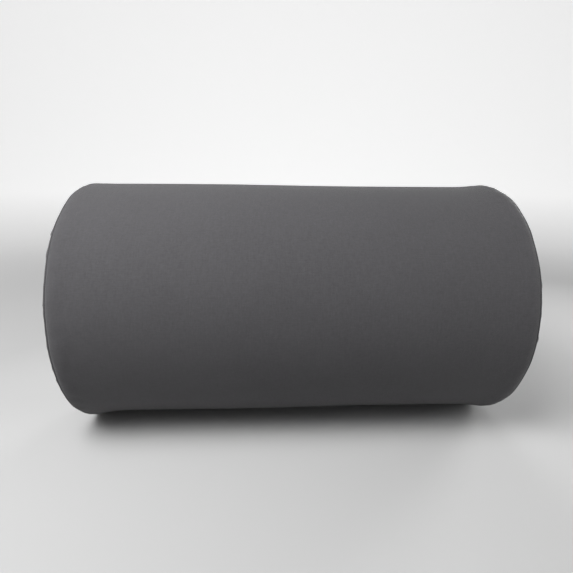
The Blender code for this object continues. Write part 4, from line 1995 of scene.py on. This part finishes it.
@dataclass
class Slider:
    """The zip's slider with its crown, and the pull that swings on it."""

    roll: Roll
    finishes: Finishes
    hinge: Vector
    tail_half: float = 4.2 * MM
    nose_half: float = 4.8 * MM
    sheet: float = 1.0 * MM
    gap: float = 3.7 * MM
    crown_half: float = 1.0 * MM
    crown_reach: float = 3.1 * MM
    eye_reach: float = 2.0 * MM
    pull_head: float = 0.6 * MM
    pull_half: float = 3.2 * MM
    pull_thickness: float = 1.2 * MM
    pull_length: float = 26 * MM
    window_half: float = 1.4 * MM
    window_end: float = 3.92 * MM
    grip_start: float = 7.0 * MM

    def joined(self, name: str, pieces: Sequence[bpy.types.Object], at: Vector) -> bpy.types.Object:
        """One object from several, moved from the zip's frame to the pillow's.

        Args:
            name: The new object's name.
            pieces: The pieces, with modifiers that are not yet applied.
            at: Where their origin lies in the zip's frame.

        Returns:
            The object.
        """
        shell = bmesh.new()
        for piece in pieces:
            mesh = finished_mesh(piece, piece.name)
            shell.from_mesh(mesh)
            bpy.data.meshes.remove(mesh)
        bmesh.ops.translate(shell, vec=at, verts=shell.verts)
        mesh = bpy.data.meshes.new(name)
        shell.to_mesh(mesh)
        shell.free()
        mesh.transform(self.roll.matrix())
        mesh.shade_smooth()
        mesh.set_sharp_from_angle(angle=math.radians(38))
        return add_object(mesh, self.finishes["gunmetal"])

    def shield(self, grow: float = 0.0) -> list[tuple[float, float]]:
        """A plate's outline about the slider's middle: narrow at the tail and broad at the nose.

        Args:
            grow: How far to move the outline outwards.

        Returns:
            The outline's points.
        """
        places = np.linspace(-1, 1, 25)
        half = 5.5 * MM + grow
        width = self.tail_half + (self.nose_half - self.tail_half) * smooth_step((places + 0.6) / 1.2)
        ends = (1 - np.abs(places) ** 7) ** 0.22
        wide = [(half * at, (w + grow) * end) for at, w, end in zip(places, width, ends) if end > 0.1]
        return wide[::-1] + [(x, -y) for x, y in wide]

    def arch(self, base: float, eye: float, top: float) -> bpy.types.Object:
        """Makes the crown: a rounded arch that stands on the upper plate.

        Args:
            base: The height its feet stand at.
            eye: The height of the top of its eye.
            top: Its own height.

        Returns:
            The crown.
        """
        turn = np.linspace(0, math.pi, 25)

        def curve(reach: float, height: float) -> list[tuple[float, float]]:
            """Half a rounded loop from one foot to the other.

            Args:
                reach: How far out its feet stand.
                height: How high it rises.

            Returns:
                Its points.
            """
            x, z = np.cos(turn), np.sin(turn)
            across = reach * np.sign(x) * np.abs(x) ** 0.72
            return list(zip(across.tolist(), (base + (height - base) * np.abs(z) ** 0.72).tolist()))

        outline = curve(self.crown_reach, top) + curve(self.eye_reach, eye)[::-1]
        flat = plate("crown", outline, -self.crown_half, self.crown_half, 0.22 * MM)
        flat.data.transform(Matrix.Rotation(math.pi / 2, 4, "X"))
        return flat

    def build_body(self) -> bpy.types.Object:
        """Makes the slider's two plates, neck, flanges and crown.

        Returns:
            The slider's body.
        """
        low, high = self.roll.measure(bpy.data.objects["zip_slider"])
        middle = Vector(((low[0] + high[0]) / 2, 0.0, 0.0))
        bottom, top = low[2], low[2] + 2 * self.sheet + self.gap
        nose = [(x * 0.35 + 3.45 * MM, y * 0.2) for x, y in superellipse(3.6 * MM, 4.8 * MM, 2.6, 24)]
        pieces = [
            plate("lower_plate", self.shield(-0.05 * MM), bottom, bottom + self.sheet, 0.3 * MM),
            plate("upper_plate", self.shield(), top - self.sheet, top, 0.38 * MM),
            plate("neck", nose, bottom + 0.5 * MM, top - 0.5 * MM, 0.1 * MM),
            self.arch(top - 0.3 * MM, high[2] - 1.1 * MM, high[2]),
        ]
        spine = superellipse(4.1 * MM, 2.3 * MM, 3.0, 40)
        pieces.append(plate("rib", spine, top - 0.3 * MM, top + 0.18 * MM, 0.12 * MM))
        for row in Row:
            outline = [
                (x - 0.95 * MM, row.value * 3.72 * MM + y)
                for x, y in superellipse(3.9 * MM, 0.33 * MM, 5.0, 24)
            ]
            under = top - self.sheet - 2.15 * MM
            pieces.append(plate(f"flange_{row.word}", outline, under, top - 0.4 * MM, 0.1 * MM))
        made = self.joined("zip_slider_body", pieces, middle)
        return settle(made, "zip_slider", ["zip_slider"])

    def build_pull(self) -> bpy.types.Object:
        """Makes the pull: a tab with a window, a turning bar and a recessed grip.

        Returns:
            The pull.
        """
        head, half, end = self.pull_head, self.pull_half, self.pull_length
        straight = np.linspace(0, 1, 13)
        side = [
            (head - (end - half + head) * s, half * (0.86 + 0.14 * float(smooth_step(1.6 * s))))
            for s in straight
        ]
        turn = np.linspace(0, math.pi, 19)[1:-1]
        tip = [(-(end - half) - half * math.sin(a), half * math.cos(a)) for a in turn]
        outline = side + tip + [(x, -y) for x, y in reversed(side)]
        tab = plate("tab", outline, -self.pull_thickness / 2, self.pull_thickness / 2, 0.3 * MM)
        window_middle = -(head + self.window_end) / 2
        window_long = (self.window_end - head) / 2
        cutters = [
            plate(
                "window",
                [(x + window_middle, y) for x, y in superellipse(window_long, self.window_half, 6.0, 32)],
                -2 * MM, 2 * MM, 0.01 * MM,
            )
        ]
        grip_end = end - 2.2 * MM
        grip = [
            (x - (self.grip_start + grip_end) / 2, y)
            for x, y in superellipse((grip_end - self.grip_start) / 2, half - 1.0 * MM, 4.5)
        ]
        for low, high in ((-1.2 * MM, -0.4 * MM), (0.4 * MM, 1.2 * MM)):
            cutters.append(plate("grip", grip, low, high, 0.01 * MM))
        bevel = tab.modifiers["edges"]
        tab.modifiers.remove(bevel)
        for cutter in cutters:
            cutter.modifiers.clear()
            cut = tab.modifiers.new("cut", "BOOLEAN")
            cut.operation, cut.solver, cut.object = "DIFFERENCE", "EXACT", cutter
        bevel = tab.modifiers.new("edges", "BEVEL")
        bevel.width, bevel.segments, bevel.limit_method = 0.18 * MM, 3, "ANGLE"
        bevel.angle_limit = math.radians(50)
        ridges = []
        for place in np.arange(-end + 6.5 * MM, -self.grip_start - 2.2 * MM, 1.5 * MM):
            bar = [(x + place, y) for x, y in superellipse(0.42 * MM, half - 1.35 * MM, 4.0, 20)]
            ridges.append(plate("ridge", bar, -0.52 * MM, 0.52 * MM, 0.08 * MM))
        inverse = self.roll.matrix().inverted()
        made = self.joined("zip_pull_tab", [tab, *ridges], inverse @ self.hinge)
        for cutter in cutters:
            bpy.data.objects.remove(cutter)
        return settle(made, "zip_pull", ["zip_pull"])

    def build(self) -> list[bpy.types.Object]:
        """Makes the slider and its pull."""
        return [self.build_body(), self.build_pull()]


# ---------------------------------------------------------------- the studio


@dataclass
class Studio:
    """A pale floor, soft lights and the camera."""

    roll: Roll
    elevation: float = 15.0
    distance: float = 3.924
    sideways: float = -0.212
    yaw: float = 2.45
    pitch: float = -1.2
    roll_angle: float = -0.3
    lens: float = 27.0
    world: float = 0.07
    sweep_start: float = 1.0
    sweep_end: float = 4.5
    sweep_rise: float = 0.26

    def floor(self) -> bpy.types.Object:
        """Makes the floor: a wide sheet that stays flat round the pillow and turns up far behind it.

        Returns:
            The floor.
        """
        reach, turn = np.meshgrid(
            np.linspace(0.01, self.sweep_end, 60),
            np.linspace(0, math.tau, 96, endpoint=False),
            indexing="ij",
        )
        rise = self.sweep_rise * np.maximum(reach - self.sweep_start, 0.0) ** 2
        points = np.stack([reach * np.cos(turn), reach * np.sin(turn), rise], axis=-1).reshape(-1, 3)
        quads = grid_quads(60, 96, wrap_columns=True).tolist()
        mesh = new_mesh("studio_floor", points, [*quads, list(range(96))])
        made = add_object(mesh, PaleFloor().material())
        return made

    def light(
        self, name: str, at: Sequence[float], towards: Sequence[float], size: float, power: float,
        spread: float = 180.0,
    ) -> bpy.types.Object:
        """Adds a square soft light.

        Args:
            name: The light's name.
            at: Where it stands.
            towards: The place that it faces.
            size: Its width.
            power: Its power, in watts.
            spread: How wide its beam is, in degrees.

        Returns:
            The light.
        """
        lamp = bpy.data.lights.new(name, "AREA")
        lamp.energy, lamp.size, lamp.spread = power, size, math.radians(spread)
        made = bpy.data.objects.new(name, lamp)
        made.location = at
        facing = Vector(towards) - Vector(at)
        made.rotation_euler = facing.to_track_quat("-Z", "Y").to_euler()
        made.visible_camera = False
        bpy.context.scene.collection.objects.link(made)
        return made

    def camera(self) -> bpy.types.Object:
        """Adds the camera and makes it the scene's own.

        Returns:
            The camera.
        """
        tilt, unit = math.radians(self.elevation), self.roll.radius
        yaw, pitch, roll = (math.radians(angle) for angle in (self.yaw, self.pitch, self.roll_angle))
        turn = Matrix.Rotation(pitch, 3, "X") @ Matrix.Rotation(yaw, 3, "Z")
        turn = Matrix.Rotation(roll, 3, "Y") @ turn
        level = Matrix.Rotation(-tilt, 3, "X")
        right, ahead, up = (level @ Vector(row) for row in turn)
        lens = bpy.data.cameras.new("camera")
        lens.lens, lens.sensor_width, lens.sensor_fit = self.lens, 36.0, "AUTO"
        lens.clip_start, lens.clip_end = 0.01, 50.0
        made = bpy.data.objects.new("camera", lens)
        place = level @ Vector((self.sideways * unit, -self.distance * unit, 0.0))
        place.z += self.roll.axis_height
        made.matrix_world = Matrix.Translation(place) @ Matrix((right, up, -ahead)).transposed().to_4x4()
        bpy.context.scene.collection.objects.link(made)
        bpy.context.scene.camera = made
        return made

    def build(self) -> None:
        """Sets the whole studio up."""
        scene = bpy.context.scene
        scene.view_settings.view_transform = "Standard"
        world = bpy.data.worlds.new("studio")
        world.use_nodes = True
        world.node_tree.nodes["Background"].inputs["Color"].default_value = (1.0, 1.0, 1.0, 1.0)
        world.node_tree.nodes["Background"].inputs["Strength"].default_value = self.world
        scene.world = world
        self.floor()
        pillow = (0.0, 0.0, self.roll.axis_height)
        self.light("key", (-0.30, -0.30, 0.50), pillow, 0.35, 2.2)
        self.light("overhead", (-0.32, -0.32, 0.75), pillow, 0.45, 7.2)
        self.light("rear", (0.2, 1.1, 0.12), pillow, 0.22, 2.2, spread=60.0)
        self.light("side", (0.9, -0.12, 0.16), pillow, 0.35, 0.45, spread=60.0)
        self.light("side_rear", (0.70, 0.42, 0.20), (0.16, 0.0, 0.09), 0.25, 0.4, spread=40.0)
        self.camera()


def main() -> None:
    """Builds the pillow and the studio round it."""
    logging.basicConfig(level=logging.INFO, format="%(message)s", stream=sys.stdout, force=True)
    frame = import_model()
    roll = Roll.from_frame(frame)
    finishes = Finishes(roll)
    gathers = Gathers(roll)
    gathers.settle()
    stitching = roll.measure(frame["nodes"]["zip_stitch_lower"])[0]
    surface = CoverSurface(
        roll, gathers, slot_end=-float(stitching[0]), slot_half=float(stitching[1]) - STITCH_SETBACK
    )
    cover = Cover(surface, finishes)
    core_low, core_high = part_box("foam_core")
    insert = Insert(
        surface, finishes, core_radius=(core_high.y - core_low.y) / 2, core_x=core_high.x,
        tube_x=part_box("liner_end_right")[0].x,
    )
    swing = next(joint for joint in frame["joints"] if joint["name"] == "zip_pull_swing")
    made = [
        *cover.build(),
        *insert.build(),
        CareLabel(cover, finishes).build(),
        *Zip(roll, finishes).build(),
        *Slider(roll, finishes, Vector(swing["pos_m"])).build(),
    ]
    Studio(roll).build()
    LOG.info("%d pieces", len(made))


if __name__ == "__main__":
    main()
